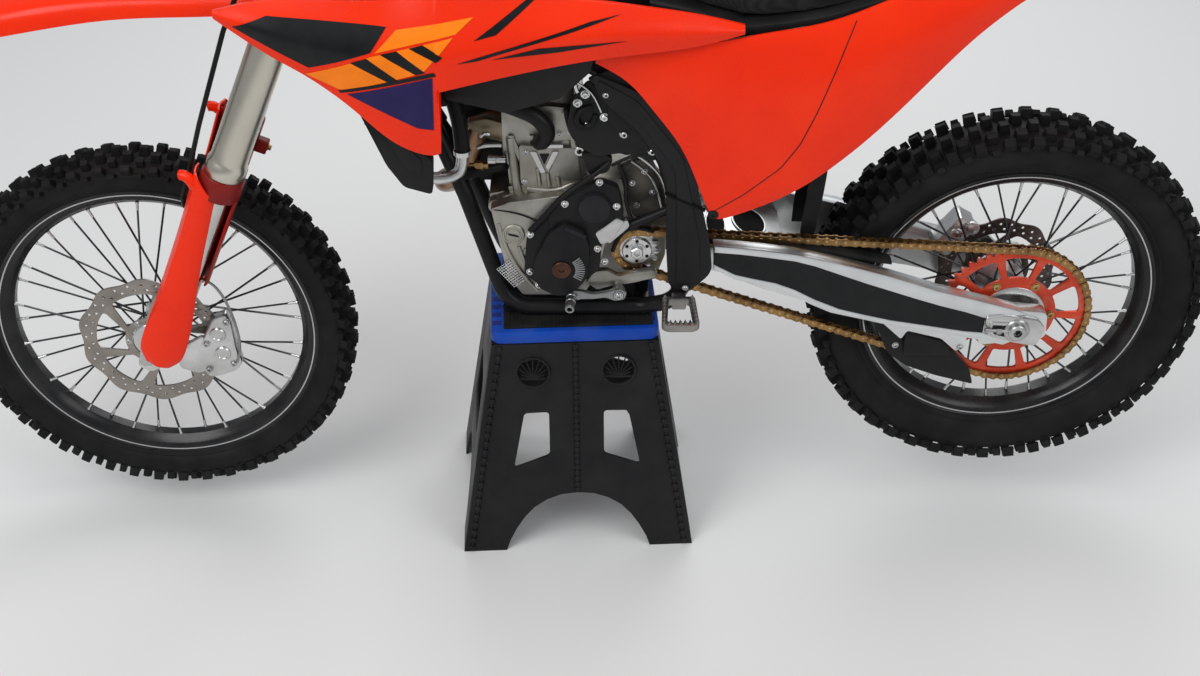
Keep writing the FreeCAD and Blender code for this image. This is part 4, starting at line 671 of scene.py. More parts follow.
# Knob families. Columns: side offset, length round the tyre, width, height, lean in degrees, phase of the row
FRONT_KNOBS = ((9.5, 17, 15, 15, 4, 0), (22, 14, 12, 14.5, 17, 0.5), (34, 19, 13, 14, 38, 0.02),
               (40.5, 13, 9, 9, 66, 0.5))
REAR_KNOBS = ((12, 19, 19, 15, 3, 0), (33, 21, 18, 15, 16, 0.5), (49, 22, 17, 14.5, 34, 0.04),
              (56.5, 15, 10, 9, 64, 0.52))
# Columns: radius, half width
FRONT_WALL = ((280, 24), (281.5, 25.6), (285, 27.4), (287, 29.6), (289.4, 29.9), (291, 31.6), (299, 36.4),
              (309, 39.6), (318, 40.0), (323, 37.5), (329, 28), (333.2, 15), (335, 0))
REAR_WALL = ((255, 30), (256.5, 31.8), (261, 34), (264, 37.5), (267, 38.2), (269, 40.5), (280, 49),
             (294, 54.2), (306, 54.6), (315, 52), (323, 41), (329, 22), (331, 0))
# Rim section. Columns: below the lip, share of the half width
RIM_SECTION = ((0, 1), (3, 1.02), (5, 0.97), (13, 0.93), (19, 0.80), (25, 0.52), (30, 0.34), (30.5, 0))
RIM_INSIDE = ((0, 0.86), (14, 0.80), (21, 0.62), (26.5, 0.30), (27, 0))

# Columns: wheel, axle, wall, knobs, rows of knobs, half width, radius of the crown
TYRES = (("front", FRONT_AXLE, FRONT_WALL, FRONT_KNOBS, 46, 42, 335),
         ("rear", REAR_AXLE, REAR_WALL, REAR_KNOBS, 44, 58, 331))
# Columns: wheel, axle, radius of the lip, half width
RIMS = (("front", FRONT_AXLE, 282, 26), ("rear", REAR_AXLE, 257, 33))
# Columns: wheel, axle, radius and spread of the flanges, radius inside the rim
SPOKES = (("front", FRONT_AXLE, 33, 58, 251.6), ("rear", REAR_AXLE, 44, 66, 226.6))
# Columns: wheel, axle, radius and width of the barrel, radius and spread of the flanges, carriers as middle,
# radius and width, bore
HUBS = (("front", FRONT_AXLE, 22, 126, 33, 58, ((-54, 35.8, 18),), 13.3),
        ("rear", REAR_AXLE, 30, 142, 44, 66, ((-62, 46.8, 18), (60, 46.8, 16)), 12.8))
# Columns: wheel, axle, side, radius, radius of the seat, look
DISCS = (("front", FRONT_AXLE, -60, 130, 36, "disc_steel"),
         ("rear", REAR_AXLE, 66, 110, 47, "rear_disc_steel"))


def on_wheel(wheel, name, piece, look, node=None):
    return finished(f"{wheel}_{name}", piece, look, node and f"{wheel}_{node}", f"{wheel}_wheel")


def round_wheel(axle, profile, steps):
    return turned(profile, at(axle[0], 0, axle[1]), steps=steps)


def there_and_back(profile):
    """A half profile and its mirror image."""
    return list(profile) + [(radius, -side) for radius, side in reversed(profile[:-1])]


def turns(count, shift=0):
    return [math.tau * (index + shift) / count for index in range(count)]


def polar(axle, radius, angle):
    return (axle[0] + math.sin(angle) * radius, axle[1] + math.cos(angle) * radius)


def at_polar(axle, radius, angle, side):
    x, z = polar(axle, radius, angle)
    return at(x, side, z)


def knob(length, width, height):
    """A tread block that stands on the ground plane of its own origin."""
    piece = box((-length / 2, -width / 2, 0), (length / 2, width / 2, height))
    choose_faces(piece, lambda face: face.normal.z > 0.9)
    with editing(piece, "FACE", is_all=False):
        bpy.ops.transform.resize(value=(KNOB_TAPER, KNOB_TAPER, 1))
        bpy.ops.mesh.inset(thickness=1.6 * MM)
        bpy.ops.transform.translate(value=(0, 0, -0.9 * MM))
    return bevelled(piece, 0.9, angle=50, segments=1)


def tyre(wheel, axle, wall, knobs, rows, half, crown):
    """A carcass with four families of knobs on each side, the rows half a step apart."""
    lip, width = wall[0]
    carcass = there_and_back(wall) + [(lip - 12, 4 - width), (lip - 12, width - 4)]
    parts = [round_wheel(axle, carcass, 128)]
    step = math.tau / rows
    for family, (side, length, width, height, lean, phase) in enumerate(knobs):
        foot = crown - TREAD_DROP * (side / half) ** 2 - KNOB_ROOT
        for way in SIDES:
            tilt = turned_about("X", -math.radians(lean) * way)
            block = settle(knob(length, width, height + KNOB_ROOT),
                           moved(at(axle[0], side * way, axle[1] + foot)) @ tilt)
            shift = 0.5 if way > 0 and family < 2 else 0
            parts.append(round_axle(block, axle, rows, (phase + shift) * step))
    on_wheel(wheel, "tyre_tread", smooth(joined(parts), 28), "tyre_rubber", "tyre")


def rim(wheel, axle, lip, half):
    outer = there_and_back([(lip - drop, half * share) for drop, share in RIM_SECTION])
    inner = there_and_back([(lip - drop, -half * share) for drop, share in RIM_INSIDE])
    band = round_wheel(axle, outer + inner, 128)
    stripes = []
    for side in SIDES:
        above, below = side * half * 0.968, side * half * 0.955
        lines = [(lip - 6.4, above + side * 0.35), (lip - 6.4, above), (lip - 8.6, below),
                 (lip - 8.6, below + side * 0.35)]
        stripes.append(round_wheel(axle, lines, 128))
    on_wheel(wheel, "rim_stripe", stripes, "film_silver")
    on_wheel(wheel, "rim_ring", band, "rim_black", "rim")


def spokes(wheel, axle, flange, spread, rim_inner):
    """Four kinds of spoke, each repeated round the axle, with their nipples at the rim."""
    wires, nipples = [], []
    for index in range(4):
        side, angle = SIDES[index % 2], math.tau * index / SPOKE_COUNT
        root = at_polar(axle, flange - 5, angle + SPOKE_LEAD * (1 if index > 1 else -1), side * spread / 2)
        tip = at_polar(axle, rim_inner, angle, side * 7)
        way = (tip - root).normalized()
        wire = pipe([root + at(0, 4 * side, 0), root, root + way * 0.012, tip], 1.9, order=2, resolution=2,
                    sides=1)
        wires.append(round_axle(wire, axle, SPOKE_COUNT // 4))
        nipple = turned([(0, -16), (2.2, -16), (2.5, -15), (2.5, -5), (3.4, -2), (3.6, 0), (0, 0.5)], tip,
                        way, 10)
        nipples.append(round_axle(nipple, axle, SPOKE_COUNT // 4))
    on_wheel(wheel, "nipples", nipples, "bright_alloy")
    on_wheel(wheel, "spokes", wires, "spoke_black")


def hub(wheel, axle, barrel, width, flange, spread, carriers, bore):
    """A turned barrel that is waisted between its flanges, then carriers for disc and sprocket."""
    half, near = width / 2, spread / 2
    parts = [round_wheel(axle, there_and_back([
        (bore, -half), (barrel - 3, -half), (barrel - 1, -half + 2), (barrel, -near - 12),
        (flange - 3, -near - 3.5), (flange, -near - 2), (flange, -near + 2), (flange - 3, -near + 3.5),
        (barrel - 2, -near + 10), (barrel - 5, 0)]), 64)]
    for middle, radius, thick in carriers:
        low, high = middle - thick / 2, middle + thick / 2
        parts.append(round_wheel(axle, [(barrel - 4, low), (radius - 2, low), (radius, low + 1.5),
                                        (radius, high - 1.5), (radius - 2, high), (barrel - 4, high)], 64))
    on_wheel(wheel, "hub_barrel", parts, "bright_alloy", "hub")


def bolts(name, places, radius=5, height=4, way=-Y_WAY, look="axle_steel",
          body="chassis"):
    """Cap screws with a washer and a hex hole, all in one direction."""
    master = turned([(radius * 1.35, 0), (radius * 1.35, 1.1), (radius, 1.3), (radius, height - 0.6),
                     (radius - 0.7, height), (radius * 0.5, height), (radius * 0.45, height * 0.45),
                     (0, height * 0.45)], steps=12)
    aim = turn_to(way)
    finished(name, smooth(copies(master, [moved(place) @ aim for place in places])), look, body=body)


def fan(axle, inner, outer, start, end, corner=4, twist=0):
    """A window between two radii and two angles, with rounded corners."""
    steps = 5
    angles = [start + (end - start) * index / steps for index in range(steps + 1)]
    outline = [polar(axle, outer, angle + twist) for angle in angles]
    return rounded(outline + [polar(axle, inner, angle) for angle in reversed(angles)], corner, 2)


def brake_disc(wheel, axle, side, radius, seat, look):
    """A wavy braking band with rows of holes, on six swept arms."""
    wave = [polar(axle, radius - 4 + 3.4 * math.cos(10 * angle), angle) for angle in turns(240)]
    holes = [[polar(axle, seat + 1, -angle) for angle in turns(48)]]
    holes += [fan(axle, seat + 13, radius - 31, start + 0.10, start + math.tau / 6 - 0.12, 7, 0.28)
              for start in turns(6)]
    for angle in turns(30):
        for inside, drift in ((23, 0.05), (13, -0.03)):
            holes.append(ring(polar(axle, radius - inside, angle + drift), 2.7, 8))
    holes += [ring(polar(axle, seat + 7, angle), 2.6, 8) for angle in turns(6, 0.5)]
    band = flat([wave] + holes, side - 1.6, side + 1.6, 0.3)
    on_wheel(wheel, "disc_band", band, look, "disc")
    out = math.copysign(1, side)
    places = [at_polar(axle, seat + 7, angle, side + out * 1.4) for angle in turns(6, 0.5)]
    bolts(f"{wheel}_disc_band_bolts", places, 4.2, 3, Y_WAY * out, body=f"{wheel}_wheel")


# Chain and its sprockets

CHAIN_PITCH = 15.875
CHAIN_LINKS = 118
CHAIN_SIDE = -70
DRIVE_AXLE = (97, 585)
REAR_TEETH, FRONT_TEETH = 52, 14
SPROCKET_WINDOWS = 10
SPROCKET_BOLTS = 67
CARRIER_FACE = ((14, 0), (46, 0), (46, 2.9), (57, 2.9), (57, 4.2), (55, 5.5), (41, 5.5), (38, 4), (24, 4),
                (22, 7), (14, 7))
# One tooth. Columns: share of the pitch, rise over the pitch circle
TOOTH = ((-0.5, 4.4), (-0.36, 3.2), (-0.23, -0.5), (-0.12, -3.8), (0, -5), (0.12, -3.8), (0.23, -0.5),
         (0.36, 3.2))


def pitch_radius(teeth):
    return CHAIN_PITCH / (2 * math.sin(math.pi / teeth))


def toothed(centre, teeth, seated):
    """Outline with narrow tips and rounded gaps, one of them at a pin."""
    phase = math.atan2(seated.x - centre[0], seated.y - centre[1])
    return [polar(centre, pitch_radius(teeth) + rise, phase + math.tau * (tooth + share) / teeth)
            for tooth in range(teeth) for share, rise in TOOTH]


def wheel_sprocket(pins):
    centre = REAR_AXLE
    holes = [[polar(centre, 47, -angle) for angle in turns(48)]]
    half = math.tau / SPROCKET_WINDOWS / 2 - 0.042
    for start in turns(SPROCKET_WINDOWS):
        holes.append(fan(centre, 76, 116, start - half * 0.82, start + half, 10))
    holes += [ring(polar(centre, SPROCKET_BOLTS, angle), 4.2, 12) for angle in turns(6, 0.5)]
    edge = toothed(centre, REAR_TEETH, max(pins, key=lambda spot: spot.x))
    sprocket = flat([edge] + holes, CHAIN_SIDE - 3, CHAIN_SIDE + 3, 0.5)
    finished("wheel_sprocket_plate", sprocket, "sprocket_orange", node="rear_sprocket", body="rear_wheel")
    places = [at_polar(centre, SPROCKET_BOLTS, angle, CHAIN_SIDE - 3) for angle in turns(6, 0.5)]
    bolts("sprocket_bolts", places, 6, 4.5, look="bronze_fitting", body="rear_wheel")
    face = turned(CARRIER_FACE, at(centre[0], CHAIN_SIDE, centre[1]), -Y_WAY, 56)
    finished("carrier_face", face, "bright_alloy", body="rear_wheel")


def wheels(pins):
    for make, rows in ((tyre, TYRES), (rim, RIMS), (spokes, SPOKES), (hub, HUBS), (brake_disc, DISCS)):
        for row in rows:
            make(*row)
    wheel_sprocket(pins)


def chain_pins():
    """Pin places in X and Z along the loop: upper run, wheel sprocket, lower run, drive sprocket."""
    drive, wheel = Vector(DRIVE_AXLE), Vector(REAR_AXLE)
    way = (wheel - drive).normalized()
    over = Vector((-way.y, way.x))
    small, large = pitch_radius(FRONT_TEETH), pitch_radius(REAR_TEETH)
    lean = math.asin((large - small) / (wheel - drive).length)
    run = (wheel - drive).length * math.cos(lean)
    rear_turn, front_turn = math.pi + 2 * lean, math.pi - 2 * lean

    def on_circle(centre, radius, angle):
        lift = math.pi / 2 + lean - angle
        return centre + (way * math.cos(lift) + over * math.sin(lift)) * radius

    total = 2 * run + large * rear_turn + small * front_turn
    places = []
    for index in range(CHAIN_LINKS):
        left = total * index / CHAIN_LINKS
        round_rear = left - run
        below = round_rear - large * rear_turn
        if left < run:
            spot = on_circle(drive, small, 0).lerp(on_circle(wheel, large, 0), left / run)
        elif below < 0:
            spot = on_circle(wheel, large, round_rear / large)
        elif below < run:
            spot = on_circle(wheel, large, rear_turn).lerp(on_circle(drive, small, rear_turn), below / run)
        else:
            spot = on_circle(drive, small, rear_turn + (below - run) / small)
        places.append(spot)
    return places


def link_plate(half_height, low, high):
    """A side plate round two pins, narrower between them."""
    half = CHAIN_PITCH / 2
    outline = []
    for end in (1, -1):
        outline += [(end * (half + math.cos(turn) * half_height), end * math.sin(turn) * half_height)
                    for turn in (-1.2, -0.6, 0, 0.6, 1.2)]
        outline.append((0, end * half_height * 0.68))
    return flat([outline], low, high)


def drive_chain(pins):
    masters = [joined([link_plate(7, *span) for span in ((-7.9, -6.2), (6.2, 7.9))]),
               joined([link_plate(7.5, *span) for span in ((-6, -4.3), (4.3, 6))])]
    roller = turned([(0, -4.3), (5, -4.3), (5, 4.3), (0, 4.3)], steps=10)
    pin = turned([(0, -8.5), (2.3, -8.5), (2.8, -8), (2.8, 8), (2.3, 8.5), (0, 8.5)], steps=8)
    middles, ends = ([], []), []
    for index, spot in enumerate(pins):
        after = pins[(index + 1) % len(pins)]
        middle, way = (spot + after) / 2, after - spot
        aim = turned_about("Y", -math.atan2(way.y, way.x))
        middles[index % 2].append(moved(at(middle.x, CHAIN_SIDE, middle.y)) @ aim)
        ends.append(moved(at(spot.x, CHAIN_SIDE, spot.y)))
    finished("chain_links", [copies(master, places) for master, places in zip(masters, middles)],
             "chain_bronze", node="chain")
    finished("chain_rollers", copies(roller, ends), "chain_rollers")
    finished("chain_pins", copies(pin, ends), "bronze_fitting")


def drive_sprocket(pins):
    seated = min(pins, key=lambda spot: spot.x)
    middle = at(DRIVE_AXLE[0], CHAIN_SIDE - 3, DRIVE_AXLE[1])
    parts = [flat([toothed(DRIVE_AXLE, FRONT_TEETH, seated)], CHAIN_SIDE - 3, CHAIN_SIDE + 3, 0.4),
             turned([(0, 0), (25, 0), (25, 3), (23.5, 4.5), (15, 4.5), (15, 6), (0, 6)], middle, -Y_WAY),
             turned([(0, 5), (11.5, 5), (11.5, 12), (10, 13), (6, 13), (6, 8), (0, 8)], middle, -Y_WAY, 6)]
    finished("drive_sprocket_body", parts, "bright_alloy", "drive_sprocket")
    # Flat black caps over the sprocket's holes: painted shade in the holes
    places = [at_polar(DRIVE_AXLE, 19.5, angle, CHAIN_SIDE - 7.2) for angle in turns(6)]
    bolts("drive_sprocket_hole_shades", places, 2.2, 0.8, look="frame_black")


# Swingarm outlines in X and Z: top edge, lower edge of the ridge, foot of the dark band, foot of the arm
ARM_TOP = ((222, 618), (265, 614), (307, 609), (357, 601), (416, 587), (476, 570), (519, 557), (562, 542),
           (606, 526), (650, 514), (694, 501), (738, 488), (764, 478))
ARM_RIDGE = ((223, 605), (266, 601), (308, 595), (358, 587), (392, 577), (435, 560), (478, 543), (522, 527),
             (566, 511), (610, 496), (654, 483), (690, 470))
ARM_BAND = ((223, 582), (260, 561), (294, 552), (328, 544), (362, 530), (397, 510), (441, 490), (485, 478),
            (528, 467), (572, 459), (615, 451), (659, 443), (689, 440))
ARM_FOOT = ((224, 572), (260, 551), (311, 537), (354, 522), (390, 500), (425, 483), (486, 467), (516, 459),
            (572, 448), (615, 440), (659, 432), (700, 425), (745, 420))
ADJUSTER = ((688, 474), (722, 479), (779, 470), (795, 450), (783, 414), (742, 422), (697, 436))
SLIDER = ((200, 605), (300, 599), (416, 591.5), (476, 580), (526, 564), (526, 560), (476, 568), (416, 578),
          (300, 588), (200, 594))
# Recesses in the top of the swingarm's cross member, each a rim round a disc of painted shade. Columns:
# middle in X and Y, half lengths
ARM_RECESSES = ((293, 27, 27, 42), (233, 2, 15, 44))


def swingarm():
    kept("swingarm", 3, "swingarm_alloy")
    arm = [strip(ARM_TOP, ARM_FOOT, -112, -86.5, 5), strip(ARM_TOP, ARM_RIDGE, -115, -107, 2.6),
           strip(ARM_BAND, ARM_FOOT, -114, -107, 2)]
    finished("swingarm_arms", arm, "swingarm_alloy", pair=True)
    finished("swingarm_films", strip(ARM_RIDGE, ARM_BAND, -112.8, -111.6), "film_black",
             pair=True)
    block = [plate(-119, -106, 2.5, 8, ADJUSTER),
             plate(-121, -118, 1.2, 6, ((696, 467), (736, 465), (732, 430), (702, 438)))]
    finished("adjusters", block, "bright_alloy", pair=True)
    arm_recesses()
    # Black plates in the adjusters' slots: painted shade
    slot = plate(-121.6, -120.4, 0, 5, ((701, 461), (731, 459), (728, 436), (706, 442)))
    finished("adjuster_slot_shades", slot, "frame_black", pair=True)
    end = at(REAR_AXLE[0], -119, REAR_AXLE[1])
    ends = [pipe(line(((690, -122, 452), (742, -122, 448))), 3.4, order=2),
            turned([(0, -5), (6.5, -5), (6.5, 4), (0, 4)], at(714, -122, 450), X_WAY, 6),
            turned([(0, 0), (22, 0), (22, 3), (20.5, 4.5), (15, 4.5), (15, 10), (13.5, 11.5), (7.5, 11.5),
                    (7.5, 5), (0, 5)], end, -Y_WAY, 36)]
    finished("axle_ends", ends, "axle_steel", pair=True)
    # Black discs at the foot of the axle bores: painted shade in the hollow
    core = turned([(0, 0), (7, 0), (7, 6), (0, 6)], end, -Y_WAY, 6)
    finished("axle_bore_shades", core, "frame_black", pair=True)
    finished("slider", plate(-84.5, -57, 2, 0, SLIDER), "black_rubber")
    kept("rear_axle", 0.8, "axle_steel")


def arm_recesses():
    """Rims that follow the top of the cross member, round flat near-black discs that are painted shade in the
    recesses.
    """
    rims, hollows = [], []
    for x, y, across, deep in ARM_RECESSES:
        edge = ellipse((x, y), across, deep)
        rims.append(flat([ellipse((x, y), across + 3.5, deep + 3.5), edge], -2, 3, 0.8, is_level=True))
        hollows.append(flat([edge], -2, 0.6, is_level=True))
    for name, parts, look in (("arm_recess_rims", rims, "swingarm_alloy"),
                              ("arm_recesses", hollows, "painted_shade_black")):
        piece = joined(parts)
        for vertex in piece.data.vertices:
            vertex.co.z += min(0.587, 0.577 - (vertex.co.x - 0.290) * 0.25)
        finished(name, piece, look)


GUIDE = ((505, 450), (532, 440), (560, 410), (650, 384), (684, 343), (694, 309), (625, 329), (570, 351),
         (536, 379))
GUIDE_FLOOR = ((538, 377), (570, 352), (625, 331), (692, 310), (692, 318), (627, 340), (575, 359),
               (546, 382))
GUIDE_BLOCK = ((561, 428), (626, 411), (640, 398), (643, 380), (562, 380))
GUIDE_BRACKET = ((510, 462), (553, 420), (562, 438), (622, 421), (650, 394), (668, 404), (664, 440))


def chain_guide():
    parts = [plate(-88, -82, 1.5, 6, GUIDE), plate(-60, -54, 1.5, 6, GUIDE),
             plate(-83, -59, 0, 0, GUIDE_FLOOR), plate(-97, -84, 2, 4, GUIDE_BLOCK)]
    finished("chain_guide_body", parts, "black_plastic", node="chain_guide")
    finished("guide_bracket", plate(-105, -96, 1.5, 5, GUIDE_BRACKET), "swingarm_alloy")
    bolts("guide_bolts", line(((656, -105, 404), (548, -88, 396))), 4.5)


# Engine

# Plates on the left side. Columns: name, look, slot, deep and outer side, bevel, corner, outline in X and Z
ENGINE_PLATES = (
    ("ignition_skirt", "cover_black", None, -102, -89, 2.5, 10, outline_xz((
        (-272, -30), (-266, 42), (-222, 88), (-160, 92), (-140, 52), (-146, -22), (-190, -58),
        (-240, -58)))),
    ("ignition_cover", "cover_black", None, -115, -98, 3.5, 7, (
        (-74, 592), (-78, 560), (-66, 534), (-39, 519), (-12, 522), (10, 548), (18, 584), (18, 619),
        (10, 645), (-24, 663), (-50, 643))),
    ("cover_lip", "cover_satin", "cover_black", -117, -113, 1, 3,
     ((-22, 659), (14, 640), (9, 634), (-24, 652))),
    ("starter_cover", "cover_black", None, -106, -88, 3, 8, (
        (-50, 672), (-30, 701), (2, 719), (35, 738), (65, 725), (74, 680), (71, 660), (41, 647), (28, 624),
        (-11, 651), (-27, 659), (-47, 641))),
    ("clutch_slave", "bright_alloy", "engine_alloy", -110, -88, 3, 5, (
        (26, 641), (44, 655), (62, 671), (76, 663), (66, 646), (57, 626), (36, 618))),
    ("slave_flange", "bright_alloy", "engine_alloy", -104, -90, 1.5, 5, (
        (36, 640), (80, 664), (84, 650), (50, 616))),
    ("chain_case", "case_dark", "engine_alloy", -58, -44, 3, 10, (
        (66, 735), (100, 752), (128, 730), (147, 690), (150, 650), (92, 637), (80, 672))),
    ("lower_case", "engine_alloy", None, -98, -84, 3, 5, (
        (11, 536), (25, 558), (47, 560), (66, 548), (96, 556), (128, 560), (132, 546), (92, 534), (54, 528),
        (30, 520))),
    ("cylinder_face", "engine_alloy", None, -69, -50, 3, 7, (
        (-96, 784), (-1, 777), (6, 715), (-24, 706), (-77, 699), (-95, 713))),
    ("case_face", "engine_alloy", None, -70, -48, 4, 8, (
        (-138, 669), (-120, 692), (-97, 692), (-51, 691), (-46, 659), (-76, 630), (-116, 640),
        (-137, 652))),
    ("head_face", "engine_alloy", None, -67, -50, 3, 7, (
        (-75, 848), (-48, 853), (-7, 849), (2, 792), (-46, 784), (-63, 815))),
    ("head_flange", "head_brown", "engine_alloy", -58, -38, 3, 7, (
        (-179, 819), (-148, 826), (-91, 808), (-95, 786), (-121, 782), (-146, 789), (-174, 806))),
    ("vee_left", "bright_alloy", "engine_alloy", -73, -67, 1, 2, (
        (-78, 774), (-68, 774), (-53, 735), (-61, 733))),
    ("vee_right", "bright_alloy", "engine_alloy", -73, -67, 1, 2, (
        (-31, 774), (-41, 774), (-53, 746), (-47, 735))),
    ("vee_bar", "bright_alloy", "engine_alloy", -72, -67, 1, 2, (
        (-66, 786), (-24, 786), (-24, 779), (-66, 779))),
    # A black triangle on the alloy between the vee bars: painted shade in the hollow
    ("vee_painted_shade", "frame_black", "engine_alloy", -69.8, -67, 0, 2, ((-63, 768), (-46, 768), (-55, 747))),
    ("side_bracket", "black_plastic", None, -104, -97, 1.5, 8, (
        (-9, 884), (17, 917), (44, 893), (66, 869), (146, 801), (122, 772), (73, 788), (28, 782), (3, 801),
        (-18, 835))),
    ("frame_cover", "black_plastic", None, -124, -118, 1.5, 8, (
        (14, 930), (56, 945), (96, 915), (160, 846), (186, 800), (150, 790), (60, 890))),
    ("bracket_step", "black_plastic", None, -107, -101, 1.5, 5, (
        (48, 880), (62, 868), (138, 802), (120, 786), (80, 812), (46, 848))),
    ("wiring_box", "black_plastic", None, -98, -82, 3, 8, (
        (4, 782), (34, 789), (56, 774), (49, 748), (18, 742))),
)

# Bars, wires and hoses on the left side. Columns: name, look, slot, radius, places
ENGINE_PIPES = (
    ("cover_strip", "cover_black", None, 4.6, (
        (-80, -104, 643), (-50, -106, 679), (-30, -106, 706), (2, -106, 732), (34, -104, 755),
        (50, -98, 768))),
    ("tower_front", "engine_alloy", None, 8, ((-109, -60, 794), (-104, -61, 735), (-98, -60, 676))),
    ("tower_rear", "engine_alloy", None, 8, ((-15, -58, 840), (-6, -62, 783), (2, -58, 716))),
    ("cast_fillet", "engine_alloy", None, 6, ((-84, -64, 701), (-50, -67, 696), (-22, -66, 701),
                                              (2, -62, 717))),
    ("case_fillet", "engine_alloy", None, 7, (
        (-132, -64, 664), (-108, -68, 644), (-80, -68, 634), (-56, -68, 651), (-46, -66, 675))),
    ("case_rib_a", "engine_alloy", None, 4, (
        (-132, -90, 650), (-124, -92, 606), (-96, -93, 548), (-70, -92, 516))),
    ("case_rib_b", "engine_alloy", None, 3.4, ((-100, -92, 606), (-92, -93, 580), (-84, -93, 560))),
    ("case_seam", "cover_satin", "engine_alloy", 1.6, (
        (-138, -91, 676), (-100, -93, 672), (-60, -93, 650), (-40, -93, 640))),
    ("boss_a", "engine_alloy", None, 4, ((-66, -69, 742), (-63, -69, 710))),
    ("boss_b", "engine_alloy", None, 4, ((-50, -69, 733), (-47, -69, 707))),
    ("boss_c", "engine_alloy", None, 4, ((-34, -69, 727), (-31, -69, 709))),
    ("case_hoop", "bright_alloy", "engine_alloy", 4.5, (
        (98, -60, 758), (127, -60, 737), (144, -60, 699), (151, -60, 655))),
    ("case_hoop_inner", "bright_alloy", "engine_alloy", 2.2, (
        (86, -60, 748), (112, -60, 730), (130, -60, 695), (137, -60, 658))),
    ("bracket_wire", "bright_alloy", "axle_steel", 1.8, (
        (0, -106, 914), (16, -107, 904), (28, -107, 888), (37, -105, 862))),
    ("bracket_pipe", "bright_alloy", "axle_steel", 3.6, ((-3, -104, 918), (-4, -107, 908), (0, -105, 898))),
    ("loom_loop", "hose_black", None, 5, (
        (22, -106, 872), (2, -108, 868), (-4, -108, 848), (8, -108, 834), (24, -106, 842),
        (28, -104, 858))),
    ("loom_down", "hose_black", None, 3.4, ((66, -98, 764), (80, -100, 730), (74, -100, 700),
                                            (86, -96, 661))),
    ("loom_back", "hose_black", None, 2.8, ((54, -98, 762), (84, -102, 784), (116, -102, 790))),
    ("loom_top", "hose_black", None, 5, ((-18, -92, 862), (-14, -98, 828), (6, -98, 800), (34, -98, 790))),
    ("pivot_bar", "frame_black", None, 8, ((84, -92, 645), (156, -96, 682))),
    ("sprocket_shroud", "frame_black", None, 3.5, (
        (56, -84, 590), (66, -84, 622), (92, -84, 640), (124, -84, 628))),
    ("top_hose", "hose_black", "black_rubber", 14, (
        (-286, -96, 872), (-220, -88, 880), (-150, -82, 880), (-104, -84, 862), (-66, -88, 848),
        (-46, -88, 822), (-56, -80, 794), (-64, -58, 784))),
    ("lower_pipe", "bright_alloy", "black_rubber", 10, (
        (-296, -120, 842), (-296, -120, 794), (-262, -119, 758), (-222, -118, 750), (-192, -116, 756),
        (-183, -112, 774), (-183, -108, 800))),
    ("upright_hose", "hose_black", "black_rubber", 12.5, (
        (-183, -110, 790), (-184, -106, 830), (-190, -100, 866), (-200, -92, 900))),
    ("inlet_hose", "hose_black", "black_rubber", 10, (
        (-196, -112, 756), (-186, -90, 742), (-150, -60, 734), (-118, -42, 733))),
    ("steel_bend", "bright_alloy", "axle_steel", 4, ((-162, -68, 779), (-150, -70, 786), (-124, -66, 782))),
    ("steel_hook", "bright_alloy", "axle_steel", 3, ((-156, -70, 800), (-150, -72, 810), (-142, -70, 804))),
)

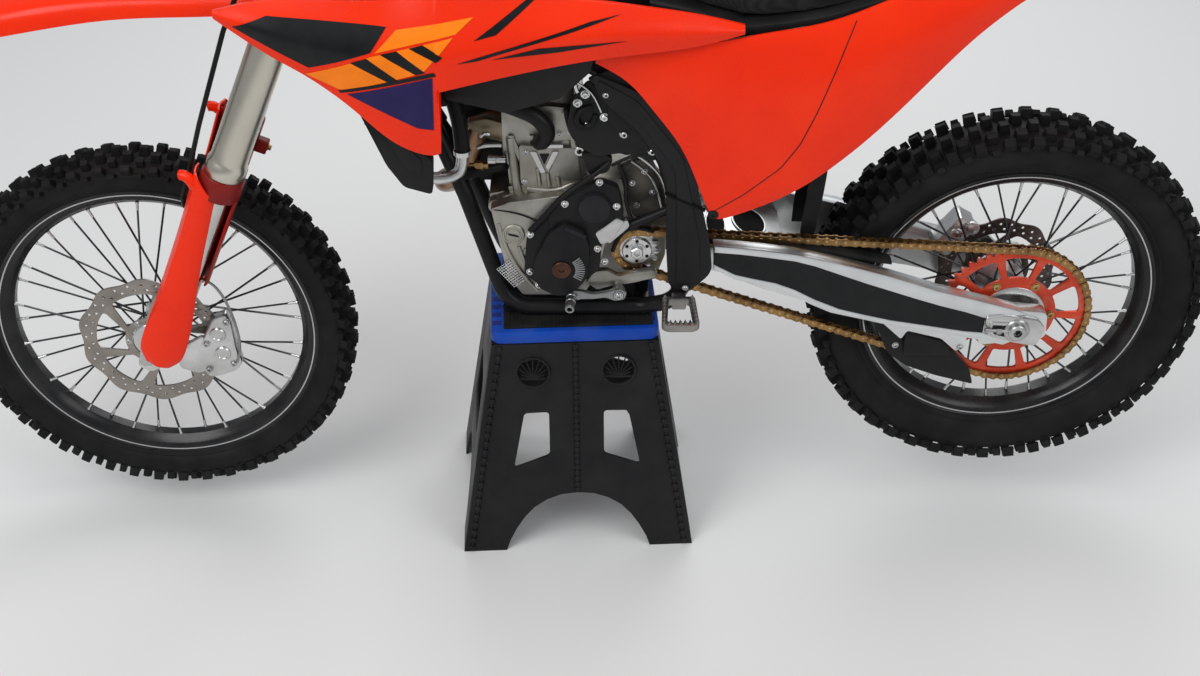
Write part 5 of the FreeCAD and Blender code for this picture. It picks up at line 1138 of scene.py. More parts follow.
# Turned parts. Columns: name, look, slot, place, way, steps, then radius and place along the axis
ENGINE_ROUNDS = (
    ("starter_cap", "cover_satin", "cover_black", (26, -104, 690), -Y_WAY, 40,
     ((0, 0), (27, 0), (27, 9), (25.5, 11.5), (21, 12.5), (0, 13))),
    ("ignition_plug", "plug_bronze", "cover_black", (-29, -114, 574), -Y_WAY, 36,
     ((0, 0), (16, 0), (16, 4), (14.5, 5), (12, 3.4), (5, 3.4), (4.5, 1.5), (0, 1.5))),
    ("oil_cap", "engine_alloy", None, (-108, -84, 629), -Y_WAY, 40,
     ((0, 0), (19, 0), (19, 10), (17.5, 11.5), (15.5, 11.5), (14.5, 10), (12, 10), (11, 11.5), (0, 11.5))),
    ("oil_cap_bolt", "bright_alloy", "engine_alloy", (-136, -66, 668), -Y_WAY, 6,
     ((0, 0), (9, 0), (9, 12), (8, 13), (0, 13))),
    ("oil_boss", "engine_alloy", None, (-136, -50, 668), -Y_WAY, 20, ((0, 0), (13, 0), (13, 18), (0, 18))),
    ("tower_ring", "bright_alloy", "engine_alloy", (2, -62, 772), -Y_WAY, 24,
     ((4, 0), (8.5, 0), (8.5, 8), (7.5, 9), (4.5, 9), (4, 8))),
    ("head_boss_a", "engine_alloy", None, (-16, -60, 840), -Y_WAY, 20, ((0, 0), (9, 0), (9, 12), (0, 12))),
    ("hex_fitting", "bronze_fitting", "engine_alloy", (-176, -70, 746), X_WAY, 6,
     ((0, 0), (5, 0), (5, 8), (9, 8), (9, 22), (5, 22), (5, 30), (0, 30))),
    ("sensor", "bright_alloy", "engine_alloy", (-146, -68, 757), X_WAY, 20,
     ((0, 0), (8, 0), (8, 12), (6.5, 14), (6.5, 28), (0, 28))),
    ("hose_clamp", "bright_alloy", "black_rubber", (-183, -110, 791), Z_WAY, 28,
     ((12, 0), (14, 0), (14, 8), (12, 8))),
    ("hose_clamp_top", "bright_alloy", "black_rubber", (-262, -93, 875), X_WAY, 28,
     ((13.5, 0), (15.2, 0), (15.2, 9), (13.5, 9))),
    ("oil_cap_seat", "engine_alloy", None, (-108, -80, 629), -Y_WAY, 40,
     ((18, 0), (25, 0), (25, 9), (23.5, 11), (20, 11), (19.4, 6), (18, 6))),
    ("drain_boss", "engine_alloy", None, (-84, -88, 596), -Y_WAY, 20, ((0, 0), (9, 0), (8, 8), (0, 8))),
    ("clutch_cover", "cover_black", None, (40, 88, 593), Y_WAY, 56,
     ((0, 0), (66, 0), (66, 24), (63, 28), (56, 30), (46, 30), (44, 32), (0, 33))),
    ("pump_cover", "cover_black", None, (-70, 88, 597), Y_WAY, 44,
     ((0, 0), (32, 0), (32, 20), (30, 23), (20, 24), (0, 24))),
    ("plug_cap", "black_rubber", "engine_alloy", (-60, 0, 880), Z_WAY, 20,
     ((0, 0), (14, 0), (14, 20), (11, 24), (11, 32), (0, 32))),
)

# Screws. Columns: name, radius, height, way, look, places
ENGINE_BOLTS = (
    ("cover_bolts", 4.6, 6, -Y_WAY, "bright_alloy", (
        (34, -106, 736), (-22, -106, 696), (62, -106, 691), (-80, -102, 635), (31, -102, 607),
        (-82, -102, 562), (-68, -102, 535), (76, -92, 646), (43, -92, 575), (-2, -102, 512))),
    ("bracket_bolts", 5.4, 6, -Y_WAY, "bright_alloy", (
        (12, -104, 893), (0, -104, 878), (42, -104, 853), (73, -104, 823), (118, -104, 792))),
    ("head_bolts", 4, 4, -Y_WAY, "axle_steel", (
        (-16, -72, 840), (-30, -67, 803), (-12, -67, 806), (-84, -69, 770), (-88, -69, 716),
        (14, -102, 840))),
    ("chain_case_bolts", 4, 5, -Y_WAY, "axle_steel", (
        (108, -58, 728), (88, -58, 706), (122, -58, 688), (96, -58, 664))),
    ("case_bolts", 4.6, 5, Y_WAY, "axle_steel", (
        (-20, 115, 548), (100, 115, 548), (-20, 115, 640), (100, 115, 640), (40, 120, 528),
        (40, 120, 658))),
)
CAP_SLOT = ((-118, 633), (-101, 629), (-98, 625), (-115, 629))
# Outline of a black plate behind the head: painted shade
HEAD_SHADE = ((-198, 655), (-92, 655), (-92, 838), (-150, 852), (-206, 830))
STANDS_FOR = {"ignition_cover": "engine_covers", "top_hose": "coolant_hoses"}


def engine():
    for name, look, slot, low, high, bevel, corner, outline in ENGINE_PLATES:
        finished(name, plate(low, high, bevel, corner, outline), look, STANDS_FOR.get(name))
    for name, look, slot, radius, places in ENGINE_PIPES:
        finished(name, pipe(line(places), radius, resolution=6), look, STANDS_FOR.get(name))
    for name, look, slot, place, way, steps, profile in ENGINE_ROUNDS:
        finished(name, turned(profile, at(*place), way, steps), look)
    for name, radius, height, way, look, places in ENGINE_BOLTS:
        bolts(name, line(places), radius, height, way, look)
    # A black strip in the oil cap's slot: painted shade
    finished("oil_cap_slot_shade", plate(-96.4, -95.2, 0, 1, CAP_SLOT), "frame_black")
    # A black plate behind the head and header: painted shade, so gaps round the head show dark instead of the
    # floor
    finished("head_shade_plate", plate(40, 44, 0, 12, HEAD_SHADE), "black_plastic")
    cooling_fins()
    mesh_guard()
    kept("crankcase", 3, "engine_alloy")
    kept("cylinder", 1.8, "engine_alloy")


def cooling_fins():
    """Short ribs that radiate beside the plug of the ignition cover."""
    plug = moved(at(-29, -115, 574))
    fins = [box((-1.1, -3, 23), (1.1, 1, 39), 0.4, plug @ turned_about("Y", math.radians(angle)))
            for angle in range(52, 123, 7)]
    finished("cover_fins", fins, "lever_alloy")


def mesh_guard():
    """Wire mesh in front of the crankcase."""
    piece = added(bpy.ops.mesh.primitive_grid_add, x_subdivisions=10, y_subdivisions=7, size=1)
    piece.scale = (0.046, 0.030, 1)
    modify(settle(piece), "WIREFRAME", thickness=1.3 * MM)
    aim = turned_about("Y", math.radians(52)) @ turned_about("X", math.pi / 2)
    finished("case_mesh", settle(piece, moved(at(-112, -95, 553)) @ aim), "bright_alloy")


# Footpegs and foot levers

PEG_EDGE = ((138, -146), (192, -146), (196, -224), (186, -232), (144, -232), (134, -224))
PEG_HOLLOW = ((148, -156), (182, -156), (186, -216), (180, -221), (150, -221), (144, -216))
SHIFT_ARM = ((76, 514), (80, 526), (72, 535), (58, 534), (44, 529), (22, 526), (4, 532), (-10, 532),
             (-16, 523), (-8, 514), (8, 515), (24, 515), (44, 518), (60, 511))
SHIFT_TIP = ((0, 0), (7.5, 0), (8.6, 2), (8.6, 10), (7.6, 11), (7.6, 13), (8.6, 14), (8.6, 22), (7.6, 23),
             (7.6, 25), (8.6, 26), (8.6, 38), (7.6, 40), (4.6, 40), (4.6, 26), (0, 26))
PEDAL = ((114, 132, 527), (84, 133, 516), (50, 134, 511), (-6, 138, 519), (-34, 142, 523), (-40, 150, 523))


def spikes(foot, tip, height, places):
    """A four-sided tooth at each place."""
    tooth = added(bpy.ops.mesh.primitive_cone_add, vertices=4, radius1=foot * MM, radius2=tip * MM,
                  depth=height * MM)
    return copies(tooth, places)


def pegs_and_levers():
    teeth = []
    for step in range(8):
        teeth += [(142.5 - step * 0.5, -150 - step * 10.5), (187.5 + step * 0.5, -150 - step * 10.5)]
    teeth += [(147 + step * 9, -227) for step in range(5)]
    lying = turned_about("X", -math.pi / 2)
    peg = [flat([rounded(PEG_EDGE, 6), list(reversed(rounded(PEG_HOLLOW, 5)))], 528, 541, 2, is_level=True),
           spikes(3.6, 0.8, 6, [moved(at(x, y, 543)) for x, y in teeth]),
           spikes(4.4, 0.6, 12, [moved(at(149 + step * 8, -215, 537)) @ lying for step in range(5)]),
           box((154, -150, 515), (178, -110, 536), 3), box((161, -154, 524), (170, -120, 532), 1.5)]
    finished("footpeg_frames", peg, "peg_steel", "footpegs", pair=True)
    shift = [plate(-118, -109, 2.5, 4, SHIFT_ARM),
             turned(((0, 0), (11, 0), (11, 18), (9.5, 20), (0, 20)), at(66, -98, 523), -Y_WAY, 28),
             turned(SHIFT_TIP, at(-12, -111, 522), Vector((-0.1, -1, -0.12)), 24)]
    finished("shift_lever", shift, "lever_alloy", node="foot_levers")
    bolts("shift_bolt", line(((66, -118, 523),)), 6, 5)
    pedal = [pipe(line(PEDAL), 6, resolution=5), box((-56, 144, 517), (-26, 168, 529), 3)]
    finished("brake_pedal", pedal, "lever_alloy")


# Brake calipers

CALIPER = ((-645, 428), (-631, 456), (-606, 466), (-598, 445), (-596, 390), (-588, 365), (-600, 345),
           (-628, 334), (-651, 330), (-661, 350), (-664, 386))
CALIPER_BRIDGE = ((-636, 440), (-606, 456), (-600, 372), (-622, 352), (-640, 372))
CALIPER_LUGS = ((-700, 366), (-690, 398), (-650, 420), (-640, 350), (-668, 338), (-700, 350))
BRAKE_PADS = ((-632, 436), (-611, 440), (-606, 380), (-626, 366))
STEEL_LINE = ((-640, -112, 560), (-619, -104, 548), (-600, -98, 510), (-588, -95, 452), (-586, -92, 394),
              (-597, -90, 366))


def calipers():
    cap = ((0, 0), (14, 0), (14, 3), (12.5, 4.5), (10, 4.5), (9, 3.5), (0, 3.5))
    front = [plate(-88, -66, 5, 8, CALIPER), plate(-68, -46, 4, 8, CALIPER_BRIDGE),
             plate(-86, -78, 2, 8, CALIPER_LUGS)]
    front += [turned(cap, place, -Y_WAY, 32) for place in line(((-624, -87, 424), (-620, -87, 384)))]
    finished("front_caliper_body", front, "bright_alloy", "front_caliper", "steering")
    places = line(((-646, -88, 404), (-606, -88, 450), (-648, -88, 350), (-604, -88, 362)))
    bolts("front_caliper_bolts", places, 5, 5, body="steering")
    finished("pads", plate(-64, -56, 0, 4, BRAKE_PADS), "frame_black", body="steering")
    steel = pipe(line(STEEL_LINE), 2.4, resolution=6, sides=2)
    finished("steel_line", steel, "braided_line", body="steering")
    finished("rear_caliper_finished", refined("rear_caliper", 3), "bright_alloy",
             "rear_caliper")
    cap = ((0, 0), (13, 0), (13, 3), (11.5, 4), (0, 4))
    caps = [turned(cap, place, -Y_WAY, 28) for place in line(((660, 44.5, 538), (686, 44.5, 552)))]
    finished("rear_caliper_caps", caps, "bright_alloy")


# Shock absorber

COIL_TURNS, COIL_POINTS = 6, 12
SHOCK_BODY = ((0, 10), (13, 10), (22, 24), (22, 34), (31, 36), (31, 42), (18, 44), (18, 100), (7, 102),
              (7, 150), (30, 160), (30, 166), (16, 168), (12, 190), (0, 190))


def shock():
    top, foot = at_frame(-40, 190, 26), at_frame(62, 15.3, 0)
    way = (foot - top).normalized()
    across = way.cross(Y_WAY).normalized()
    beside = way.cross(across)
    coil = []
    start, end = 0.040, (foot - top).length - 0.036
    for index in range(COIL_TURNS * COIL_POINTS + 1):
        angle = math.tau * index / COIL_POINTS
        along = start + (end - start) * index / (COIL_TURNS * COIL_POINTS)
        coil.append(top + way * along + (across * math.cos(angle) + beside * math.sin(angle)) * 0.0262)
    finished("shock_spring", pipe(coil, 4.6, order=4, resolution=2, sides=2), "shock_spring",
             "shock_absorber")
    end_place = top + Vector((-0.052, -0.006, -0.012))
    parts = [turned(SHOCK_BODY, top, way, 36),
             turned(((0, -40), (18, -40), (20, -38), (20, 34), (18, 38), (0, 38)), end_place,
                    Vector((0.35, 0, 0.94)), 32),
             pipe([top + way * 0.012, end_place + Vector((0.010, 0, 0.020))], 9, order=2)]
    finished("shock_cylinder", parts, "bright_alloy")


# Bodywork

def on_left(piece, x, z):
    """The outermost place of a piece at (x, z), seen from the left, or None beside it."""
    hit, spot, _, _ = piece.ray_cast(at(x, -500, z), Y_WAY)
    return spot if hit else None


def sticker(name, look, lift, outline, panel):
    """A film on the left face of a panel: the panel's own faces, cut along a convex outline in X and Z."""
    film = duplicate(panel)
    bare(film)
    choose_faces(film, lambda face: face.normal.y > -0.25 or face.center.y > 0)
    edges = list(zip(outline, outline[1:] + outline[:1]))
    turn = math.copysign(1, sum(x0 * z1 - x1 * z0 for (x0, z0), (x1, z1) in edges))
    with editing(film, "FACE", is_all=False):
        bpy.ops.mesh.delete(type="FACE")
        for (x0, z0), (x1, z1) in edges:
            bpy.ops.mesh.select_all(action="SELECT")
            across = Vector((z1 - z0, 0, x0 - x1)).normalized() * turn
            bpy.ops.mesh.bisect(plane_co=at(x0, 0, z0), plane_no=across, clear_outer=True)
    normals = [vertex.normal.copy() for vertex in film.data.vertices]
    for vertex, normal in zip(film.data.vertices, normals):
        vertex.co += normal * lift * MM
    smooth(modify(film, "SOLIDIFY", thickness=0.25 * MM, offset=1), 60)
    finished(name, film, look, pair=True)


# Shroud stations. Columns: behind the pivot, then height and side of its top, crease and foot
SHROUD_STATIONS = ((-703, 497, 206, 491, 208, 485, 206), (-626, 509, 188, 470, 222, 424, 210),
                   (-583, 505, 182, 455, 224, 400, 208), (-514, 498, 176, 440, 224, 340, 204),
                   (-462, 495, 172, 430, 222, 272, 198), (-404, 508, 166, 428, 218, 246, 192),
                   (-388, 511, 164, 428, 217, 255, 193), (-384, 512, 164, 428, 216, 368, 212),
                   (-280, 500, 158, 438, 198, 382, 186), (-160, 488, 150, 444, 182, 400, 170),
                   (-60, 468, 142, 438, 164, 404, 156), (4, 456, 136, 432, 152, 408, 146),
                   (72, 436, 130, 430, 138, 424, 136))
# Films on the shroud. Columns: name, look, lift, outline in X and Z
FILMS = (
    ("film_nose", "film_black", 0.6, ((-496, 1060), (-446, 1074), (-276, 1052), (-300, 1020), (-392, 996))),
    ("film_amber", "film_amber", 0.6, ((-398, 984), (-300, 1014), (-180, 1036), (-226, 986), (-346, 956))),
    ("film_amber_tip", "film_amber", 0.6, ((-294, 1019), (-262, 1048), (-150, 1060), (-176, 1040))),
    ("film_amber_line", "film_black", 1.0, ((-352, 957), (-210, 986), (-206, 980), (-350, 952))),
    ("film_indigo", "film_indigo", 0.6, ((-340, 950), (-212, 977), (-216, 884), (-240, 888))),
    ("film_slash_a", "film_black", 1.0, ((-330, 1006), (-306, 1012), (-262, 974), (-276, 971))),
    ("film_slash_b", "film_black", 1.0, ((-286, 1017), (-262, 1021), (-222, 986), (-236, 983))),
    ("film_slash_c", "film_black", 1.0, ((-244, 1024), (-224, 1028), (-196, 1010), (-206, 1002))),
    ("film_speed_a", "film_black", 0.6, ((-176, 998), (-146, 1000), (66, 1052), (20, 1046))),
    ("film_speed_b", "film_black", 0.6, ((-150, 1030), (-118, 1036), (-48, 1086), (-72, 1078))),
    ("film_speed_c", "film_black", 0.6, ((-124, 1000), (-30, 1004), (74, 1015), (-56, 1013))),
)


def shroud_row(back, top, top_side, crease, crease_side, foot, foot_side):
    """From the flange behind the top edge over the crease to the flange behind the foot."""
    upper = (top * 0.5 + crease * 0.5, top_side * 0.42 + crease_side * 0.58)
    lower = (crease * 0.5 + foot * 0.5, crease_side * 0.55 + foot_side * 0.45)
    spots = ((top - 1.5, top_side - 9), (top, top_side), upper, (crease, crease_side), lower,
             (foot, foot_side), (foot + 2, foot_side - 8))
    return [at_frame(back, up, -side) for up, side in spots]


def shrouds():
    rows = [shroud_row(*station) for station in SHROUD_STATIONS]
    left = shell(faced(sheet_grid(rows, (1, 5), (6, 7), 3), -Y_WAY))
    for film in FILMS:
        sticker(*film, left)
    finished("shroud_shells", left, "orange_plastic", node="shrouds", pair=True)


# Side panel stations. Columns: behind the pivot, height of foot and top, side of foot, middle and top
PANEL_FRONT = ((-152, 378, 403, 138, 139, 137), (-100, 350, 404, 138, 141, 137),
               (-61, 293, 405, 138, 143, 136), (-16, 235, 407, 137, 145, 135),
               (11, 161, 409, 136, 147, 134))
PANEL_LEFT = ((34, 97, 411, 134, 148, 134), (50, 96, 412, 134, 149, 133), (112, 120, 424, 134, 150, 130),
              (174, 152, 431, 134, 150, 127), (235, 203, 448, 133, 148, 123),
              (291, 259, 474, 131, 145, 120), (345, 322, 492, 128, 140, 117),
              (399, 387, 504, 124, 134, 114), (440, 428, 514, 119, 127, 111),
              (500, 476, 524, 112, 118, 107), (560, 508, 522, 104, 107, 103))
PANEL_RIGHT = ((34, 97, 411, 134, 147, 134), (50, 96, 412, 134, 148, 133), (112, 118, 424, 134, 148, 130),
               (150, 140, 429, 134, 148, 128), (172, 172, 431, 134, 147, 127),
               (190, 250, 433, 132, 144, 125), (200, 330, 436, 130, 138, 123),
               (232, 392, 448, 127, 132, 121), (300, 430, 476, 121, 126, 118))
PANEL_SEAM = ((214, 697), (262, 730), (319, 781), (347, 826), (368, 880), (385, 930), (404, 985),
              (424, 1040))


def panel_row(side, back, foot, top, foot_side, middle_side, top_side):
    low, high = foot + (top - foot) * 0.3, foot + (top - foot) * 0.68
    spots = ((foot + 2, foot_side - 7), (foot, foot_side), (low, middle_side * 0.7 + foot_side * 0.3),
             (high, middle_side), (top, top_side), (top - 1, top_side - 6))
    return [at_frame(back, up, side * out) for up, out in spots]


def side_panel(side, stations):
    rows = [panel_row(side, *station) for station in PANEL_FRONT + stations]
    return shell(faced(sheet_grid(rows, (1, 4)), Y_WAY * side))


def side_panels():
    left = side_panel(LEFT, PANEL_LEFT)
    places = []
    for (x0, z0), (x1, z1) in zip(PANEL_SEAM, PANEL_SEAM[1:]):
        for share in (0, 0.25, 0.5, 0.75):
            places.append(on_left(left, x0 + (x1 - x0) * share, z0 + (z1 - z0) * share))
    seam = pipe([place for place in places if place], 0.9, resolution=4, sides=1)
    finished("panel_seam", seam, "black_plastic")
    bolts("panel_bolt", [on_left(left, 217, 692)], 6.5, 3, look="black_plastic")
    finished("side_panel_left", left, "orange_plastic", node="side_panels")
    finished("side_panel_right", side_panel(RIGHT, PANEL_RIGHT), "orange_plastic")


# Fender stations. Columns: behind the pivot or the head, height of the crown, half width, depth
REAR_FENDER = ((432, 478, 84, 14), (500, 492, 96, 26), (560, 511, 101, 31), (620, 530, 104, 34),
               (740, 562, 98, 30), (800, 572, 90, 27), (850, 580, 80, 22), (893, 584, 64, 15),
               (905, 584, 54, 11))
FRONT_FENDER = ((-40, -86, 44, 18), (-120, -76, 64, 26), (-220, -66, 74, 34), (-330, -64, 76, 36),
                (-450, -72, 88, 44), (-560, -98, 86, 40), (-620, -117, 77, 33), (-660, -134, 66, 26),
                (-700, -151, 50, 17), (-716, -158, 38, 11))


def fender(stations, centre, lift, creases):
    """A shell over cross-sections that run from the left lip over the crown to the right lip."""
    rows = []
    for back, crown, half, depth in stations:
        left = [(half - 4, crown - depth + 1), (half, crown - depth), (half * 0.95, crown - depth * 0.35),
                (half * 0.8, crown - 4), (half * 0.4, crown + lift)]
        spots = [(-side, up) for side, up in left] + [(0, crown + lift * 0.4)] + left[::-1]
        rows.append([at(centre[0] + back, side, centre[1] + up) for side, up in spots])
    return shell(faced(sheet_grid(rows, creases), Z_WAY))


def fenders():
    finished("tail_fender", fender(REAR_FENDER, PIVOT, 2, (1, 9)), "orange_plastic", node="rear_fender")
    finished("nose_fender", fender(FRONT_FENDER, HEAD, 3, (1, 4, 6, 9)), "orange_plastic",
             node="front_fender", body="steering")


# Tank cover stations. Columns: behind the pivot, height on the centre line, at the shoulder and at the rim,
# half width
COVER = ((-512, 528, 524, 506, 40), (-480, 541, 538, 512, 62), (-430, 545, 540, 502, 104),
         (-360, 542, 536, 494, 150), (-300, 537, 528, 490, 156), (-262, 530, 520, 486, 154),
         (-230, 518, 508, 480, 150))
TANK_FLANK = outline_xz(((-384, 388), (-382, 322), (-290, 298), (-207, 322), (-161, 366), (-152, 398)))


def tank():
    rows = []
    for back, centre, shoulder, edge, half in COVER:
        spots = ((-half, edge), (-half * 0.78, shoulder), (-half * 0.4, centre), (0, centre + 1),
                 (half * 0.4, centre), (half * 0.78, shoulder), (half, edge))
        rows.append([at_frame(back, up, side) for side, up in spots])
    finished("tank_cover", shell(faced(sheet_grid(rows), Z_WAY)), "tank_black")
    finished("tank_flanks", plate(-147, -112, 4, 9, TANK_FLANK), "tank_black", pair=True)
    cap = turned(((0, 0), (33, 0), (34, 3), (34, 13), (31, 16), (27, 16.5), (25, 14), (0, 14)),
                 at_frame(-372, 543), Z_WAY, 36)
    finished("filler_cap", cap, "black_plastic")
    kept("fuel_tank", 6, "tank_black", name="tank_body")


# Seat stations. Columns: behind the pivot, underside, top, half width
SEAT = ((-262, 509, 536, 44), (-190, 494, 531, 52), (-120, 480, 526, 60), (-8, 447, 508, 72),
        (76, 419, 497, 82), (140, 426, 495, 86), (200, 437, 499, 88), (270, 459, 508, 90),
        (340, 481, 521, 92), (410, 492, 535, 91), (460, 498, 545, 90), (486, 504, 537, 84))
COVER_ROOM = 2
SEAT_SEAM = 1e-5
SWELL_PRESSURE, SWELL_CAP, SWELL_FRAMES = 2.5, 3, 20
RIB_SPACING, RIB_HEIGHT, RIB_SLOPE = 0.030, 0.0016, 0.75


def seat():
    """A foam body that swells a little in its gripper cover, then ribs across the cover."""
    rows = []
    for back, low, high, half in SEAT:
        half -= COVER_ROOM
        right = [(half * 0.4, high - 1), (half * 0.84, high - 5), (half, high - 18), (half, low + 3),
                 (half * 0.7, low), (0, low)]
        spots = [(-side, up) for side, up in reversed(right)] + [(0, high - 1)] + right
        rows.append([at_frame(back, up, side) for side, up in spots])
    piece = sheet_grid(rows, (2, 3, 9, 10), level=1)
    with editing(piece):
        bpy.ops.mesh.remove_doubles(threshold=SEAT_SEAM)
        bpy.ops.mesh.select_all(action="DESELECT")
        bpy.ops.mesh.select_mode(type="EDGE")
        bpy.ops.mesh.select_non_manifold()
        bpy.ops.mesh.fill_holes(sides=0)
        bpy.ops.mesh.select_all(action="SELECT")
        bpy.ops.mesh.normals_make_consistent(inside=False)
    modify(piece, "REMESH", mode="VOXEL", voxel_size=6 * MM)
    swell(piece)
    rib_top(subdivided(piece, 1))
    smooth(piece, 70)
    piece.name = "seat_cushion"
    finished("seat_cushion", piece, "seat_cover", node="seat")


def swell(piece):
    """Cloth under pressure for some frames, with no point further from its start than the cap."""
    before = [vertex.co.copy() for vertex in piece.data.vertices]
    choose(piece)
    cloth = piece.modifiers.new("Cover", "CLOTH")
    cloth.settings.use_pressure = True
    cloth.settings.uniform_pressure_force = SWELL_PRESSURE
    cloth.settings.effector_weights.gravity = 0
    cloth.settings.tension_stiffness = 30
    for step in range(SWELL_FRAMES):
        bpy.context.scene.frame_set(step + 1)
    bpy.ops.object.modifier_apply(modifier=cloth.name)
    bpy.context.scene.frame_set(1)
    for vertex, start in zip(piece.data.vertices, before):
        way = vertex.co - start
        if way.length > SWELL_CAP * MM:
            vertex.co = start + way.normalized() * SWELL_CAP * MM


def rib_top(piece):
    """Raised gripper ribs across the top of the cover."""
    for vertex in piece.data.vertices:
        rise = (vertex.normal.z - RIB_SLOPE) / (1 - RIB_SLOPE)
        if rise > 0:
            share = max(0, math.cos(math.tau * vertex.co.x / RIB_SPACING)) ** 4
            vertex.co.z += RIB_HEIGHT * share * rise


# Black covers under the seat, behind and above the pivot: upper and lower edge
TRAY_TOP = ((-70, 463), (-8, 450), (76, 423), (140, 430), (200, 441), (270, 463), (340, 485), (415, 496))
TRAY_FOOT = ((-70, 366), (40, 388), (150, 408), (250, 426), (330, 447), (415, 476))
NOSE_TOP = ((-200, 494), (-120, 479), (-60, 460))
NOSE_FOOT = ((-200, 420), (-120, 400), (-60, 366))


def under_seat():
    """The tray between the seat and the airbox, with skirts over the subframe's upper rails."""
    upper, lower = outline_xz(TRAY_TOP), outline_xz(TRAY_FOOT)
    parts = [both(strip(upper, lower, -107.6, -64, 3)), strip(upper, lower, -66, 66),
             strip(outline_xz(NOSE_TOP), outline_xz(NOSE_FOOT), -48, 48, 3)]
    finished("seat_tray", parts, "black_plastic")


# Frame guards, radiator guards and the mud flap

FRAME_GUARD = outline_xz(((-161, 360), (-84, 326), (-4, 221), (34, 53), (40, -6), (5, -42), (-32, -36),
                          (-38, 53), (-40, 184), (-83, 256), (-146, 318)))
GUARD_SPINE = outline_xz(((-150, 350), (-86, 312), (-14, 214), (16, 60), (20, -10), (2, -28), (-20, -24),
                          (-20, 60), (-26, 190), (-78, 268), (-146, 330)))
GUARD_SEAM_SHADE = outline_xz(((-42, 150), (24, 118), (23, 114), (-42, 146)))
RADIATOR_GUARD = outline_xz(((-512, 330), (-474, 230), (-450, 192), (-406, 178), (-402, 240)))
GUARD_FACET = outline_xz(((-484, 318), (-462, 262), (-440, 226), (-420, 218), (-418, 240)))
SLAT_TILT = -0.45
# Mud flap stations. Columns: height and place behind the pivot, how far its edges curl
FLAP = ((276, 235, 0.6), (200, 234, 1), (115, 231, 1), (40, 222, 1), (-22, 214, 0.8))


def guards():
    shells = [plate(-134.5, -129.6, 1.6, 16, FRAME_GUARD), plate(-137.5, -133, 2, 14, GUARD_SPINE)]
    # A near-black strip along the guard's seam: painted shade in the gap between its plates
    joint = plate(-138.2, -134, 0, 0, GUARD_SEAM_SHADE)
    finished("guard_seam_shades", joint, "painted_shade_black", pair=True)
    finished("frame_guard_shells", shells, "black_plastic", node="frame_guards", pair=True)
    bolts("guard_bolts", line(((176, -137.6, 552), (44, -134.6, 908))), 4)
    parts = [plate(-190, -166.5, 3, 8, RADIATOR_GUARD), plate(-193, -189, 1.5, 6, GUARD_FACET)]
    for step in range(6):
        place = moved(at_frame(-498, 292 + step * 18)) @ turned_about("Y", SLAT_TILT)
        parts.append(box((-9, -162, -1.2), (9, -80, 1.2), 0.5, place))
    finished("radiator_guard_shells", parts, "black_plastic", node="radiator_guards", pair=True)
    rows = []
    for up, back, curl in FLAP:
        spots = ((-30 * curl, -52), (-3, -51), (0, -40), (2, -14), (2, 14), (0, 40), (-3, 51),
                 (-30 * curl, 52))
        rows.append([at_frame(back + step, up, side) for step, side in spots])
    flap = shell(faced(sheet_grid(rows, (1, 6)), X_WAY), 2.6, 0.5)
    finished("flap", flap, "black_rubber", node="mud_flap")


# Fork

# Fork guard stations. Columns: along the fork, front and rear edge ahead of the axis, bulge, where the front
# edge ends, and how far the rear edge stays below
GUARD_STATIONS = ((4, 48, 8, 27, 20, 0), (20, 61, -4, 29, 20, 0), (34, 68, -10, 30, 20, 0),
                  (78, 68, -9, 33, 20, 0), (140, 67, -1, 33, -14, 0), (220, 67.5, 12, 33, -14, 0),
                  (300, 68, 20, 33, -14, 0), (397, 74, 27, 36, -14, 30))
OUTER_TUBE = ((0, 0), (26, 0), (32, 0), (33.2, 2), (33.2, 24), (31, 28), (30.2, 34), (30, 60), (30, 496),
              (28, 500), (22, 501), (22, 506), (0, 506))


def guard_row(along, front, rear, bulge, lip, drop):
    middle, nose, rear_lip = (front + rear) / 2, (lip + bulge * 0.8) / 2, max(lip, bulge * 0.8)
    spots = ((rear, rear_lip, drop), (rear + 6, bulge * 0.92, drop * 0.9), (middle, bulge + 3, drop * 0.4),
             (front - 8, bulge * 0.85, 0), (front + 1, nose, 0), (front - 3, lip, 0))
    return [at_fork(along - below, ahead, -FORK_SIDE - out) for ahead, out, below in spots]


def on_tube(along):
    """A place on the left fork tube's middle line."""
    return at_fork(along, FORK_OFFSET, -FORK_SIDE)


